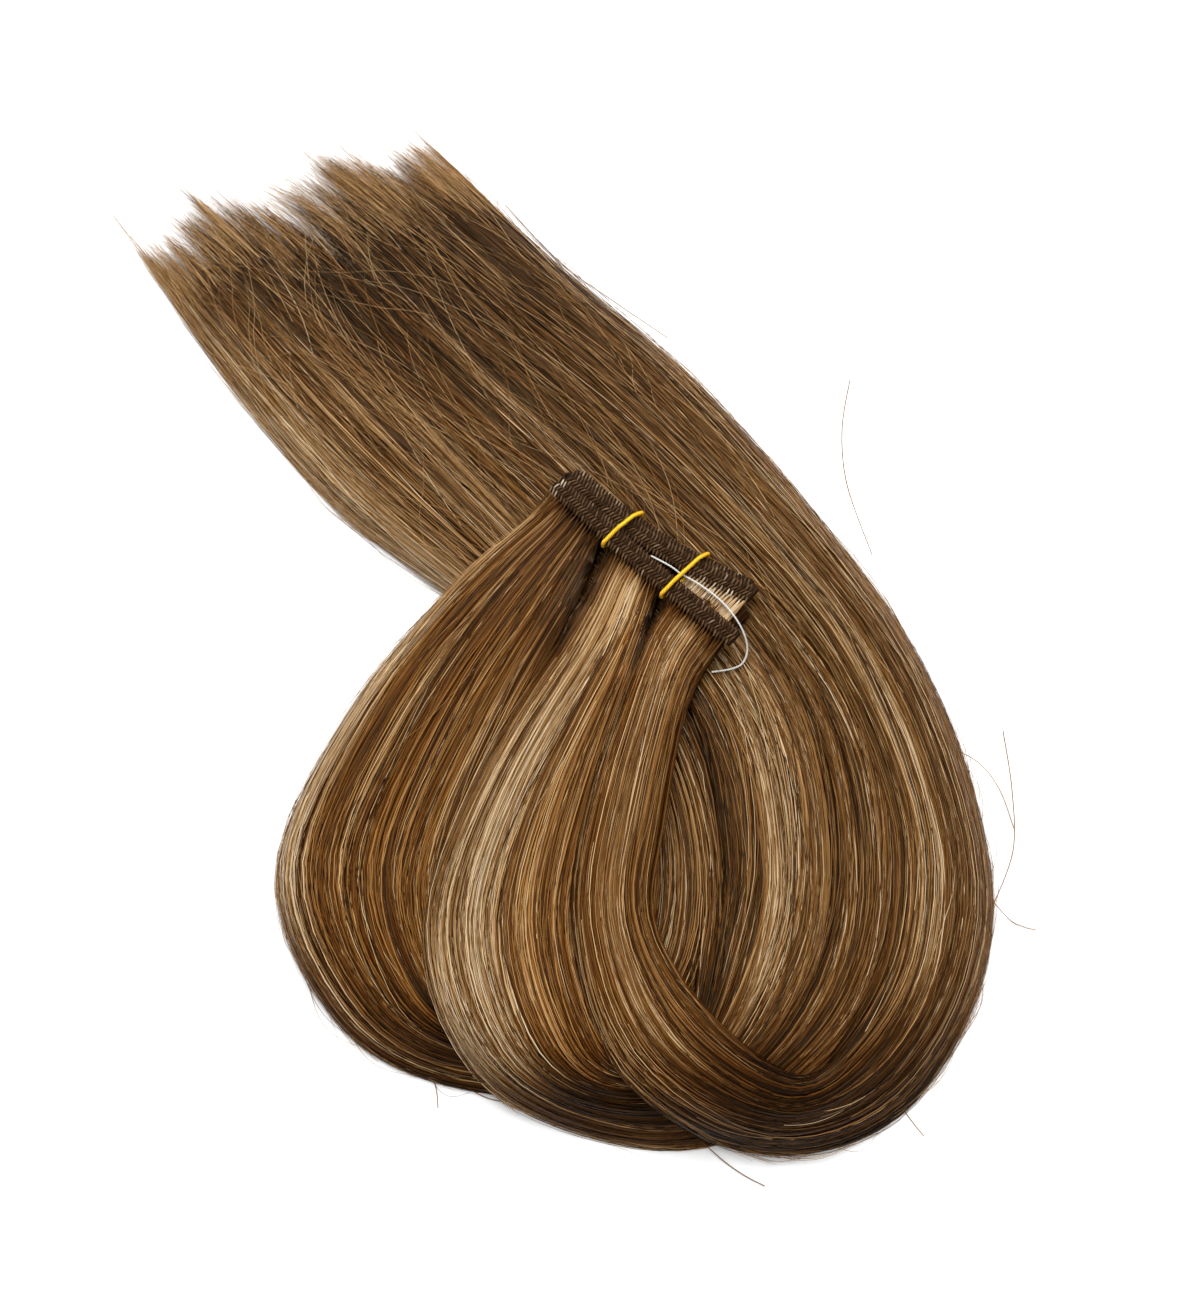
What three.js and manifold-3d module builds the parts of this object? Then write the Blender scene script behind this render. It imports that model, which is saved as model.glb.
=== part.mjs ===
// Hair weft: a bundle of long hair sewn along a narrow band, laid down in a loop.
// The band is folded to and fro, two gold ties hold the folds and part the hair in three locks.
// Millimetres, Z up, hair resting on the plane Z = 0.
import * as THREE from "three";
import { mergeVertices } from "three/addons/utils/BufferGeometryUtils.js";
import Module from "manifold-3d";

const wasm = await Module();
wasm.setup();

// Middle of the laid-out bundle, which becomes the origin
const CENTRE_X = -14.2;
const CENTRE_Y = 10.4;

// Hair: strips in a lock, steps between two table rows, and how the strips lie over each other
const STRIPS_IN_LOCK = 4;
const STEPS_PER_ROW = 3;
const TURN_ROW = 6;
const STRIP_OVERLAP = 0.2;
const CROWN_POWER = 2.5;
const STRIP_EDGE_HEIGHT = 0.72;
const LOCK_EDGE_HEIGHT = 0.4;
const STRIP_SHOULDER_HEIGHT = 0.94;
const TIP_WIDTH = 0.5;
const TIP_ROWS = 0.7;

// Weft band: one flat band in folds, lowest fold first
const WEFT_WIDE = 4.2;
const WEFT_THICK = 0.8;
const WEFT_PITCH = 1.05;
const WEFT_BASE = 10.2;
const WEFT_LONG = 58;
const WEFT_BOW = 1;
const WEFT_SPREAD_POWER = 2;
const WEFT_CORNER = { x: -11.7, y: 36.5 };
const WEFT_ANGLE = THREE.MathUtils.degToRad(-42.2);
const WEFT_STATIONS = [0, 0.15, 0.28, 0.38, 0.5, 0.61, 0.71, 0.86, 1];

// Ties round the folds, as distances along the weft, and the thread
const TIE_DIAMETER = 1.1;
const TIE_LEFT_AT = 19.2;
const TIE_RIGHT_AT = 38;
const THREAD_DIAMETER = 0.5;
const GAP = 0.3;

// Each lock: a row for each section from the root to the tips, outer and inner edge on the table,
// height of what the lock lies on and thickness of the hair over it
const LEFT_LOCK = [
  { outX: -7, outY: 39.5, inX: 5, inY: 28.8, base: 8.4, thick: 1 },
  { outX: -12.3, outY: 35.1, inX: -0.2, inY: 22.5, base: 8, thick: 5.8 },
  { outX: -35, outY: 14, inX: -5, inY: 8, base: 7.5, thick: 9 },
  { outX: -58, outY: -14, inX: -20, inY: -21, base: 2.5, thick: 12.5 },
  { outX: -74.5, outY: -54, inX: -33, inY: -57, base: 0, thick: 14 },
  { outX: -60, outY: -88, inX: -29, inY: -81, base: 0, thick: 12 },
  { outX: -33, outY: -103, inX: -20, inY: -88, base: 0, thick: 9.5 },
  { outX: 5, outY: -103, inX: -9, inY: -81, base: 0, thick: 8.5 },
  { outX: 26, outY: -79, inX: 0, inY: -58, base: 0, thick: 8.5 },
  { outX: 25, outY: -38, inX: -2, inY: -31, base: 0, thick: 8 },
  { outX: 5, outY: 2, inX: -24, inY: 4, base: 0, thick: 8 },
  { outX: -43, outY: 59, inX: -63, inY: 36, base: 0, thick: 7 },
  { outX: -75, outY: 94, inX: -92, inY: 71, base: 0, thick: 5 },
  { outX: -102, outY: 123, inX: -119, inY: 110, base: 0, thick: 1.5 },
];
const MIDDLE_LOCK = [
  { outX: 7.5, outY: 26.3, inX: 20.6, inY: 17.4, base: 8.4, thick: 1 },
  { outX: 1.7, outY: 20.8, inX: 13.8, inY: 9.9, base: 8, thick: 5.8 },
  { outX: -8, outY: 1, inX: 9, inY: -7, base: 7.5, thick: 9 },
  { outX: -26, outY: -30, inX: 0, inY: -36, base: 5.5, thick: 12 },
  { outX: -39, outY: -68, inX: -6, inY: -69, base: 4, thick: 14 },
  { outX: -30, outY: -98, inX: 1, inY: -96, base: 5.5, thick: 12.5 },
  { outX: -5, outY: -113, inX: 10, inY: -100, base: 1.5, thick: 11 },
  { outX: 27, outY: -115, inX: 21, inY: -92, base: 0, thick: 9 },
  { outX: 60, outY: -93, inX: 19, inY: -70, base: 0, thick: 8.5 },
  { outX: 72, outY: -57, inX: 18, inY: -46, base: 0, thick: 8 },
  { outX: 64, outY: -11, inX: 9, inY: -13, base: 0, thick: 8 },
  { outX: 29, outY: 37, inX: -24, inY: 30, base: 0, thick: 8 },
  { outX: -28, outY: 97, inX: -68, inY: 76, base: 0, thick: 6 },
  { outX: -63, outY: 135, inX: -100, inY: 118, base: 0, thick: 1.5 },
];
const RIGHT_LOCK = [
  { outX: 21.4, outY: 14, inX: 35.6, inY: 6.1, base: 8.4, thick: 5 },
  { outX: 15.6, outY: 8.2, inX: 28, inY: -3, base: 8, thick: 5.8 },
  { outX: 9, outY: -5, inX: 20, inY: -18, base: 7.5, thick: 9.5 },
  { outX: -2, outY: -39, inX: 14, inY: -47, base: 7.5, thick: 12 },
  { outX: -6, outY: -71, inX: 12, inY: -70, base: 7.5, thick: 13 },
  { outX: 5, outY: -104, inX: 25, inY: -91, base: 7, thick: 13 },
  { outX: 36, outY: -118, inX: 44, inY: -103, base: 3.5, thick: 13 },
  { outX: 66, outY: -110, inX: 57, inY: -90, base: 0, thick: 13 },
  { outX: 86, outY: -81, inX: 66, inY: -69, base: 0, thick: 11.5 },
  { outX: 89, outY: -46, inX: 66, inY: -37, base: 0, thick: 10.5 },
  { outX: 73, outY: 4, inX: 47, inY: 7, base: 0, thick: 10 },
  { outX: 30, outY: 65, inX: 1, inY: 60, base: 0, thick: 8.5 },
  { outX: -10, outY: 104, inX: -38, inY: 98, base: 0, thick: 6 },
  { outX: -42, outY: 139, inX: -71, inY: 132, base: 0, thick: 1.5 },
];

const LOCKS = { left: LEFT_LOCK, middle: MIDDLE_LOCK, right: RIGHT_LOCK };

// How far short of the last row each strip ends, in rows, a row for each strip from the outer edge
const TIP_SHORT = [
  { left: 0.04, middle: 0.14, right: 0 },
  { left: 0.16, middle: 0, right: 0.1 },
  { left: 0.24, middle: 0.16, right: 0.02 },
  { left: 0, middle: 0.06, right: 0.14 },
];

// Folds of the weft: where each starts and ends along the band, and its front edge across it
const WEFT_FOLDS = [
  { leftEnd: 1.6, rightEnd: 50, leftFront: -6.2, rightFront: -12.4 },
  { leftEnd: 1.2, rightEnd: 50.6, leftFront: -5.4, rightFront: -11.6 },
  { leftEnd: 0.9, rightEnd: 52.5, leftFront: -4.2, rightFront: -10.8 },
  { leftEnd: 0.6, rightEnd: 53.2, leftFront: -3.4, rightFront: -10 },
  { leftEnd: 0.2, rightEnd: 57, leftFront: -0.3, rightFront: 1.2 },
  { leftEnd: 0, rightEnd: 57.5, leftFront: 0.8, rightFront: 2 },
];

// Loose end of thread, from under the right lock to its free end on the weft
const THREAD_ROUTE = [
  { x: 26.2, y: -8, z: 8.9 },
  { x: 30.5, y: -7.3, z: 8.9 },
  { x: 33.4, y: -6, z: 9.2 },
  { x: 34.6, y: -3.1, z: 10.4 },
  { x: 33.8, y: 0.1, z: 12.6 },
  { x: 31.6, y: 3.8, z: 14.2 },
  { x: 28.2, y: 8, z: 14.4 },
  { x: 23.6, y: 11.8, z: 14.4 },
  { x: 19.1, y: 14.6, z: 14.5 },
  { x: 16.6, y: 16.4, z: 14.9 },
  { x: 12, y: 18.8, z: 15.5 },
];

const UP = new THREE.Vector3(0, 0, 1);
const ALONG = new THREE.Vector3(Math.cos(WEFT_ANGLE), Math.sin(WEFT_ANGLE), 0);
const FRONT = new THREE.Vector3(Math.sin(WEFT_ANGLE), -Math.cos(WEFT_ANGLE), 0);

function mix(a, b, t) {
  return a + (b - a) * t;
}

// Solid skin over a row of rings with equal point counts, capped or joined end to start
function loft(rings, isLoop = false) {
  const count = rings[0].length;
  const positions = rings.flat().flatMap((p) => [p.x, p.y, p.z]);
  const faces = [];
  const spans = isLoop ? rings.length : rings.length - 1;
  for (let j = 0; j < spans; j += 1) {
    const here = j * count;
    const next = ((j + 1) % rings.length) * count;
    for (let i = 0; i < count; i += 1) {
      const k = (i + 1) % count;
      faces.push(here + i, here + k, next + k);
      faces.push(here + i, next + k, next + i);
    }
  }
  if (!isLoop) {
    const last = (rings.length - 1) * count;
    for (let i = 1; i < count - 1; i += 1) {
      faces.push(0, i + 1, i);
      faces.push(last, last + i, last + i + 1);
    }
  }
  const geometry = new THREE.BufferGeometry();
  geometry.setAttribute("position", new THREE.Float32BufferAttribute(positions, 3));
  geometry.setIndex(faces);
  return geometry;
}

function solidOf(geometry) {
  const welded = geometry.clone();
  welded.deleteAttribute("normal");
  welded.deleteAttribute("uv");
  const merged = mergeVertices(welded, 1e-4);
  return new wasm.Manifold(new wasm.Mesh({
    numProp: 3,
    vertProperties: new Float32Array(merged.attributes.position.array),
    triVerts: new Uint32Array(merged.index.array),
  }));
}

function geometryOf(solid) {
  const mesh = solid.getMesh();
  const geometry = new THREE.BufferGeometry();
  geometry.setAttribute("position", new THREE.Float32BufferAttribute(mesh.vertProperties, 3));
  geometry.setIndex(Array.from(mesh.triVerts));
  return geometry;
}

// Value of one column between the rows of a table, on a smooth curve through them
function along(table, column, s) {
  const last = table.length - 1;
  const row = Math.min(Math.floor(s), last - 1);
  const t = s - row;
  const p0 = table[Math.max(row - 1, 0)][column];
  const p1 = table[row][column];
  const p2 = table[row + 1][column];
  const p3 = table[Math.min(row + 2, last)][column];
  const bend = (2 * p0 - 5 * p1 + 4 * p2 - p3) * t * t;
  const twist = (3 * p1 - p0 - 3 * p2 + p3) * t * t * t;
  return 0.5 * (2 * p1 + (p2 - p0) * t + bend + twist);
}

// Point in a lock: s counts rows from the root, v goes from the outer to the inner edge
function lockPoint(lock, s, v, z) {
  return new THREE.Vector3(
    mix(along(lock, "outX", s), along(lock, "inX", s), v),
    mix(along(lock, "outY", s), along(lock, "inY", s), v),
    z,
  );
}

// Section of one strip of hair: rounded top, sides down past the table
function stripRing(lock, index, s, end, bottom) {
  const width = 1 / STRIPS_IN_LOCK;
  const middle = (index + 0.5) * width;
  const toTip = THREE.MathUtils.clamp((end - s) / TIP_ROWS, 0, 1);
  const half = 0.5 * width * (1 + 2 * STRIP_OVERLAP) * mix(TIP_WIDTH, 1, toTip);
  const from = Math.max(middle - half, 0);
  const to = Math.min(middle + half, 1);
  const shoulder = 0.25 * (to - from);
  const base = Math.max(along(lock, "base", s), 0);
  const crown = Math.sqrt(1 - Math.abs(2 * middle - 1) ** CROWN_POWER);
  const high = along(lock, "thick", s) * crown;
  const edge = (v) => base + high * (v > 0 && v < 1 ? STRIP_EDGE_HEIGHT : LOCK_EDGE_HEIGHT);
  return [
    lockPoint(lock, s, from, bottom),
    lockPoint(lock, s, to, bottom),
    lockPoint(lock, s, to, edge(to)),
    lockPoint(lock, s, to - shoulder, base + high * STRIP_SHOULDER_HEIGHT),
    lockPoint(lock, s, 0.5 * (from + to), base + high),
    lockPoint(lock, s, from + shoulder, base + high * STRIP_SHOULDER_HEIGHT),
    lockPoint(lock, s, from, edge(from)),
  ];
}

// One strip in two runs, down to the turn and back from it, since the way back passes under the root
function hairStrip(lock, index, short, bottom) {
  const end = lock.length - 1 - short;
  const runs = [[0, TURN_ROW], [TURN_ROW, end]].map(([from, to]) => {
    const steps = Math.round((to - from) * STEPS_PER_ROW);
    const rings = [];
    for (let j = 0; j <= steps; j += 1) {
      rings.push(stripRing(lock, index, mix(from, to, j / steps), end, bottom));
    }
    return solidOf(loft(rings));
  });
  return runs[0].add(runs[1]);
}

// All strips joined, each a little deeper than the one before, then cut flat where they rest
function hairBundle() {
  let bundle = null;
  let bottom = -1;
  for (const [side, lock] of Object.entries(LOCKS)) {
    for (let index = 0; index < STRIPS_IN_LOCK; index += 1) {
      const strip = hairStrip(lock, index, TIP_SHORT[index][side], bottom);
      bundle = bundle ? bundle.add(strip) : strip;
      bottom -= 0.5;
    }
  }
  const table = new THREE.BoxGeometry(400, 400, 20);
  table.translate(0, 0, -10);
  return geometryOf(bundle.subtract(solidOf(table)));
}

// Place on the weft from the distance along it, the distance to its front and the height
function weftPoint(a, f, z) {
  const corner = new THREE.Vector3(WEFT_CORNER.x, WEFT_CORNER.y, z);
  return corner.addScaledVector(ALONG, a).addScaledVector(FRONT, f);
}

// Front edge of one fold at a distance along the weft
function foldFront(fold, a) {
  const t = (a - fold.leftEnd) / (fold.rightEnd - fold.leftEnd);
  const spread = mix(fold.leftFront, fold.rightFront, t ** WEFT_SPREAD_POWER);
  return spread + WEFT_BOW * Math.sin((Math.PI * a) / WEFT_LONG);
}

// Section of the band: flat, turned by the angle that the band has there
function weftRing(a, front, z, angle) {
  const normal = UP.clone().multiplyScalar(Math.cos(angle)).addScaledVector(ALONG, -Math.sin(angle));
  const corners = [[-1, 0], [-1, -WEFT_WIDE], [1, -WEFT_WIDE], [1, 0]];
  return corners.map(([side, across]) => (
    weftPoint(a, front + across, z).addScaledVector(normal, 0.5 * side * WEFT_THICK)
  ));
}

function weftStrip() {
  const rings = [];
  WEFT_FOLDS.forEach((fold, k) => {
    const goesRight = k % 2 === 0;
    const z = WEFT_BASE + k * WEFT_PITCH;
    for (const station of WEFT_STATIONS) {
      const a = mix(fold.leftEnd, fold.rightEnd, goesRight ? station : 1 - station);
      rings.push(weftRing(a, foldFront(fold, a), z, goesRight ? 0 : Math.PI));
    }
    const next = WEFT_FOLDS[k + 1];
    if (!next) {
      return;
    }
    const from = goesRight ? fold.rightEnd : fold.leftEnd;
    const to = goesRight ? next.rightEnd : next.leftEnd;
    for (const share of [0.25, 0.5, 0.75]) {
      const turn = Math.PI * share;
      const bulge = 0.5 * WEFT_PITCH * Math.sin(turn) * (goesRight ? 1 : -1);
      const front = mix(foldFront(fold, from), foldFront(next, to), share);
      const height = z + 0.5 * WEFT_PITCH * (1 - Math.cos(turn));
      rings.push(weftRing(mix(from, to, share) + bulge, front, height, goesRight ? turn : Math.PI - turn));
    }
  });
  return geometryOf(solidOf(loft(rings)));
}

// Corners of the smallest convex outline round the points, anticlockwise
function hull(points) {
  const sorted = [...points].sort((p, q) => p.x - q.x || p.y - q.y);
  const turnsRight = (o, p, q) => (p.x - o.x) * (q.y - o.y) - (p.y - o.y) * (q.x - o.x) <= 1e-9;
  const half = (list) => {
    const chain = [];
    for (const point of list) {
      while (chain.length > 1 && turnsRight(chain[chain.length - 2], chain[chain.length - 1], point)) {
        chain.pop();
      }
      chain.push(point);
    }
    return chain.slice(0, -1);
  };
  return [...half(sorted), ...half(sorted.reverse())];
}

// Ring of cord hugging the folds at one place along the weft
function tieRing(a) {
  const corners = [];
  WEFT_FOLDS.forEach((fold, k) => {
    const front = foldFront(fold, a);
    const z = WEFT_BASE + k * WEFT_PITCH;
    for (const across of [0, -WEFT_WIDE]) {
      corners.push(new THREE.Vector2(front + across, z - 0.5 * WEFT_THICK));
      corners.push(new THREE.Vector2(front + across, z + 0.5 * WEFT_THICK));
    }
  });
  const outline = hull(corners);
  const reach = GAP + 0.5 * TIE_DIAMETER;
  const rings = [];
  outline.forEach((corner, i) => {
    const before = outline[(i + outline.length - 1) % outline.length];
    const after = outline[(i + 1) % outline.length];
    const start = Math.atan2(corner.y - before.y, corner.x - before.x) - Math.PI / 2;
    const end = Math.atan2(after.y - corner.y, after.x - corner.x) - Math.PI / 2;
    const sweep = THREE.MathUtils.euclideanModulo(end - start, 2 * Math.PI);
    const parts = Math.max(1, Math.round(sweep / 0.45));
    for (let j = 0; j <= parts; j += 1) {
      const angle = start + (sweep * j) / parts;
      const out = FRONT.clone().multiplyScalar(Math.cos(angle)).addScaledVector(UP, Math.sin(angle));
      const centre = weftPoint(a, corner.x, corner.y).addScaledVector(out, reach);
      const ring = [];
      for (let n = 0; n < 8; n += 1) {
        const around = (n * Math.PI) / 4;
        const point = centre.clone().addScaledVector(out, 0.5 * TIE_DIAMETER * Math.cos(around));
        ring.push(point.addScaledVector(ALONG, 0.5 * TIE_DIAMETER * Math.sin(around)));
      }
      rings.push(ring);
    }
  });
  return geometryOf(solidOf(loft(rings, true)));
}

function threadEnd() {
  const route = new THREE.CatmullRomCurve3(THREAD_ROUTE.map((p) => new THREE.Vector3(p.x, p.y, p.z)));
  const section = new THREE.Shape();
  for (let n = 0; n < 8; n += 1) {
    const around = ((n + 0.5) * Math.PI) / 4;
    const x = 0.5 * THREAD_DIAMETER * Math.cos(around);
    const y = 0.5 * THREAD_DIAMETER * Math.sin(around);
    if (n === 0) {
      section.moveTo(x, y);
    } else {
      section.lineTo(x, y);
    }
  }
  section.closePath();
  const steps = Math.round(route.getLength() / (2.5 * THREAD_DIAMETER));
  return geometryOf(solidOf(new THREE.ExtrudeGeometry(section, { steps, extrudePath: route })));
}

// Named pieces with their finishes
const assembly = new THREE.Group();

function addPiece(name, geometry, color, roughness) {
  const flat = geometry.toNonIndexed();
  flat.translate(-CENTRE_X, -CENTRE_Y, 0);
  flat.computeVertexNormals();
  const mesh = new THREE.Mesh(flat, new THREE.MeshStandardMaterial({ color, roughness, metalness: 0 }));
  mesh.name = name;
  assembly.add(mesh);
}

addPiece("hair", hairBundle(), "#82603a", 0.5);
addPiece("weft_strip", weftStrip(), "#3a2312", 0.8);
addPiece("tie_left", tieRing(TIE_LEFT_AT), "#c99a2e", 0.5);
addPiece("tie_right", tieRing(TIE_RIGHT_AT), "#c99a2e", 0.5);
addPiece("thread_end", threadEnd(), "#ece8df", 0.7);

export default assembly;
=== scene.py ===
# %% [markdown]
# # A hair weft laid down in a loop
# A weft is a bundle of long hair that is sewn along a narrow band. This one lies on a table in a loop:
# the band is folded to and fro, two gold ties hold the folds, and a loose end of thread lies on top.
# The solids of the part come first. They are the frame, and all that is made here lies on them.

import math

import bpy
import numpy as np
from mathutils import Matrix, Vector


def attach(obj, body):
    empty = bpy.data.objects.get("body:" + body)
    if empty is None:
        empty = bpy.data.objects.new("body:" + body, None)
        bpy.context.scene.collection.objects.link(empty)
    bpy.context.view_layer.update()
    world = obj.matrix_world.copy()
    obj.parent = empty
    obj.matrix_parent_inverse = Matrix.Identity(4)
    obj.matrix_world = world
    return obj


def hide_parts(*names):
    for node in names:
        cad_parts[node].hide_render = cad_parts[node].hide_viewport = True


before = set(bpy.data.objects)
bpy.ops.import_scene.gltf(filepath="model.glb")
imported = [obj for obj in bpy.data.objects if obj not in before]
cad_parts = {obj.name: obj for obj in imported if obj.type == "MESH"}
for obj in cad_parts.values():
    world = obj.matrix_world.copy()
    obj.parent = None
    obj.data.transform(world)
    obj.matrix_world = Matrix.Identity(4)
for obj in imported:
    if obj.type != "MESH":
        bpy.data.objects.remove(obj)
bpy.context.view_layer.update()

# %% [markdown]
# ## Camera
# The bundle is seen from above, tipped 20 degrees towards the reader. All tables below are in millimetres
# round the middle of the picture, as they were measured, and one function brings them to the part's frame.

# %% Camera
CENTRE_MM = np.array([-14.2, 10.4, 0.0])
ELEVATION = math.radians(70)
DISTANCE_MM = 520.0
SENSOR_MM = 36.0
PICTURE_HEIGHT_PX = 1306
MM_PER_PIXEL = 0.24


def placed(points_mm):
    """Millimetres of the tables to metres in the part's frame."""
    return (np.asarray(points_mm, float) - CENTRE_MM) / 1000.0


camera_data = bpy.data.cameras.new("camera")
camera_data.sensor_width = SENSOR_MM
camera_data.lens = SENSOR_MM * DISTANCE_MM / MM_PER_PIXEL / PICTURE_HEIGHT_PX
camera = bpy.data.objects.new("camera", camera_data)
away = np.array([0.0, -math.cos(ELEVATION), math.sin(ELEVATION)])
camera.location = placed(DISTANCE_MM * away)
camera.rotation_euler = Vector(-away).to_track_quat("-Z", "Y").to_euler()
bpy.context.scene.collection.objects.link(camera)
bpy.context.scene.camera = camera
print("camera lens", round(camera_data.lens, 2), "mm")

# %% [markdown]
# ## Helpers for curves and skins
# Hair, thread, ties and stitches are all long thin things that follow a line. A smooth line through a few
# table rows, and a skin of quads over rings of points, make every one of them. Arrays of numbers are used
# in place of modifiers, because thousands of hairs are then made in one step.

# %% Curves and skins
UP = np.array([0.0, 0.0, 1.0])


def smooth(table, s):
    """Values of a table between its rows, on a smooth curve through them. s counts rows from 0."""
    table = np.asarray(table, float)
    last = len(table) - 1
    row = np.clip(np.floor(s).astype(int), 0, last - 1)
    t = (s - row)[..., None]
    before, here, there, after = (table[np.clip(row + k, 0, last)] for k in (-1, 0, 1, 2))
    bend = (2 * before - 5 * here + 4 * there - after) * t**2
    twist = (3 * here - before - 3 * there + after) * t**3
    return 0.5 * (2 * here + (there - before) * t + bend + twist)


def unit(vectors):
    return vectors / np.maximum(np.linalg.norm(vectors, axis=-1, keepdims=True), 1e-9)


def evenly(line, step):
    """The same line with points a step apart, and how far along it each one is."""
    reach = np.concatenate([[0.0], np.cumsum(np.linalg.norm(np.diff(line, axis=0), axis=1))])
    wanted = np.linspace(0.0, reach[-1], int(round(reach[-1] / step)) + 1)
    return np.stack([np.interp(wanted, reach, line[:, k]) for k in range(3)], axis=-1), wanted


def tube(lines, radii, out, points=6):
    """Rings round lines of (copies, points along, 3). out says which way is up from each point."""
    run = unit(np.gradient(lines, axis=1))
    side = unit(np.cross(out, run))
    out = np.cross(run, side)
    angle = 2 * np.pi * np.arange(points) / points
    circle = out[..., None, :] * np.cos(angle)[:, None] + side[..., None, :] * np.sin(angle)[:, None]
    return lines[..., None, :] + circle * np.broadcast_to(radii, lines.shape[:2])[..., None, None]


def skin(rings, closed):
    """Points and quads of skins over rings, for an array of (copies, rings, points, 3)."""
    copies, count, width = rings.shape[:3]
    j = np.arange(count - 1)[:, None]
    i = np.arange(width if closed else width - 1)[None, :]
    k = (i + 1) % width
    corners = (j * width + i, (j + 1) * width + i, (j + 1) * width + k, j * width + k)
    quads = np.stack(np.broadcast_arrays(*corners), axis=-1).reshape(1, -1, 4)
    quads = quads + (np.arange(copies) * count * width)[:, None, None]
    return rings.reshape(-1, 3), quads.reshape(-1, 4)


def piece(name, rings_mm, closed, material, slot, **values):
    """A smooth mesh of the part that rides on its one body. values are numbers for its points."""
    points, quads = skin(rings_mm, closed)
    mesh = bpy.data.meshes.new(name)
    mesh.from_pydata(placed(points).tolist(), [], quads.tolist())
    mesh.shade_smooth()
    for label, numbers in values.items():
        numbers = np.broadcast_to(numbers, rings_mm.shape[:3]).astype(np.float32)
        mesh.attributes.new(label, "FLOAT", "POINT").data.foreach_set("value", numbers.ravel())
    mesh.materials.append(material)
    made = bpy.data.objects.new(name, mesh)
    bpy.context.scene.collection.objects.link(made)
    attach(made, "root")
    print(name, 2 * len(quads), "triangles")
    return made


# %% [markdown]
# ## Helpers for materials
# Colours are written as the hex values that a screen shows, and one function turns them to the linear
# values that the renderer works in. One more function adds a node with its settings and its links.

# %% Colours and nodes
def linear(hex_colour):
    shares = [int(hex_colour[i:i + 2], 16) / 255 for i in (1, 3, 5)]
    return [s / 12.92 if s <= 0.04045 else ((s + 0.055) / 1.055) ** 2.4 for s in shares] + [1.0]


def add_node(material, kind, sockets=None, stops=(), **settings):
    """Adds a node. sockets gives inputs a value or an output to link, stops gives a ramp its colours."""
    made = material.node_tree.nodes.new(kind)
    for name, value in settings.items():
        setattr(made, name, value)
    for count, (place, hex_colour) in enumerate(stops):
        ramp = made.color_ramp.elements
        stop = ramp[count] if count < 2 else ramp.new(place)
        stop.position = place
        stop.color = linear(hex_colour)
    for name, value in (sockets or {}).items():
        if isinstance(value, bpy.types.NodeSocket):
            material.node_tree.links.new(value, made.inputs[name])
        else:
            made.inputs[name].default_value = value
    return made


def new_material(name):
    """An empty node material and its output node."""
    material = bpy.data.materials.new(name)
    material.use_nodes = True
    material.node_tree.nodes.clear()
    return material, add_node(material, "ShaderNodeOutputMaterial")


# %% [markdown]
# ## Thread
# The loose end is white polyester sewing thread: three yarns of spun fibre, twisted together. A plain tube
# would look like wire, so the section has three lobes that turn along the thread. The finish is matt, with
# a faint grey of painted shade in the grooves that the twist makes.

# %% Thread finish
# Spun polyester, three-ply: dull white with painted shade between the plies
spun_polyester, output = new_material("spun_polyester_white_three_ply")
ply = add_node(spun_polyester, "ShaderNodeAttribute", attribute_name="ply")
shade = add_node(spun_polyester, "ShaderNodeValToRGB", {"Fac": ply.outputs["Fac"]},
                 stops=[(0.0, "#96948f"), (1.0, "#e2e1db")])
FIBRE_MM = 0.08  # spun fibre is 0.015 mm, drawn five times as coarse to show at all
fuzz = add_node(spun_polyester, "ShaderNodeTexNoise", {"Scale": 1000 / FIBRE_MM / 2, "Detail": 2.0})
bump = add_node(spun_polyester, "ShaderNodeBump",
                {"Height": fuzz.outputs["Fac"], "Strength": 0.25, "Distance": 0.00003})
surface = add_node(spun_polyester, "ShaderNodeBsdfPrincipled",
                   {"Base Color": shade.outputs["Color"], "Roughness": 0.7, "IOR": 1.55,
                    "Normal": bump.outputs["Normal"]})
spun_polyester.node_tree.links.new(surface.outputs["BSDF"], output.inputs["Surface"])

# %% Thread
THREAD_MM = 0.5
THREAD_TWIST_MM = 2.2
THREAD_STEP_MM = 0.15
THREAD_SIDES = 12
PLIES = 3
PLY_RADIUS, PLY_LOBE = 0.82, 0.18  # shares of the thread's radius
CUT_END = np.array([0.9, 0.7, 0.35])  # how the last rings shrink at the bare end
THREAD_ROUTE = [
    (26.2, -8.0, 8.9), (30.5, -7.3, 8.9), (33.4, -6.0, 9.2), (34.6, -3.1, 10.4), (33.8, 0.1, 12.6),
    (31.6, 3.8, 14.2), (28.2, 8.0, 14.4), (23.6, 11.8, 14.4), (19.1, 14.6, 14.5), (16.6, 16.4, 14.9),
    (12.0, 18.8, 15.5),
]
fine = np.linspace(0, len(THREAD_ROUTE) - 1, 800)
route, reach = evenly(smooth(THREAD_ROUTE, fine), THREAD_STEP_MM)
angle = 2 * np.pi * np.arange(THREAD_SIDES) / THREAD_SIDES
lobes = np.cos(PLIES * (angle[None, :] - 2 * np.pi * reach[:, None] / THREAD_TWIST_MM))
radii = 0.5 * THREAD_MM * (PLY_RADIUS + PLY_LOBE * lobes)
radii[-len(CUT_END):] *= CUT_END[:, None]
round_one = tube(route[None], np.ones(len(route)), UP, THREAD_SIDES) - route[None, :, None]
rings = route[None, :, None] + round_one * radii[None, ..., None]
# the ply number gives the grooves between the plies their painted shade
thread = piece("thread", rings, True, spun_polyester, "thread", ply=0.5 + 0.5 * lobes[None])
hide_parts("thread_end")
print("thread", round(reach[-1], 1), "mm long")

# %% [markdown]
# ## Floor and light
# A white paper sweep under soft studio light: white light from all round, and one large softbox above and
# behind the bundle. It puts a sheen across the hair and leaves a faint shadow on the reader's side.

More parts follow.
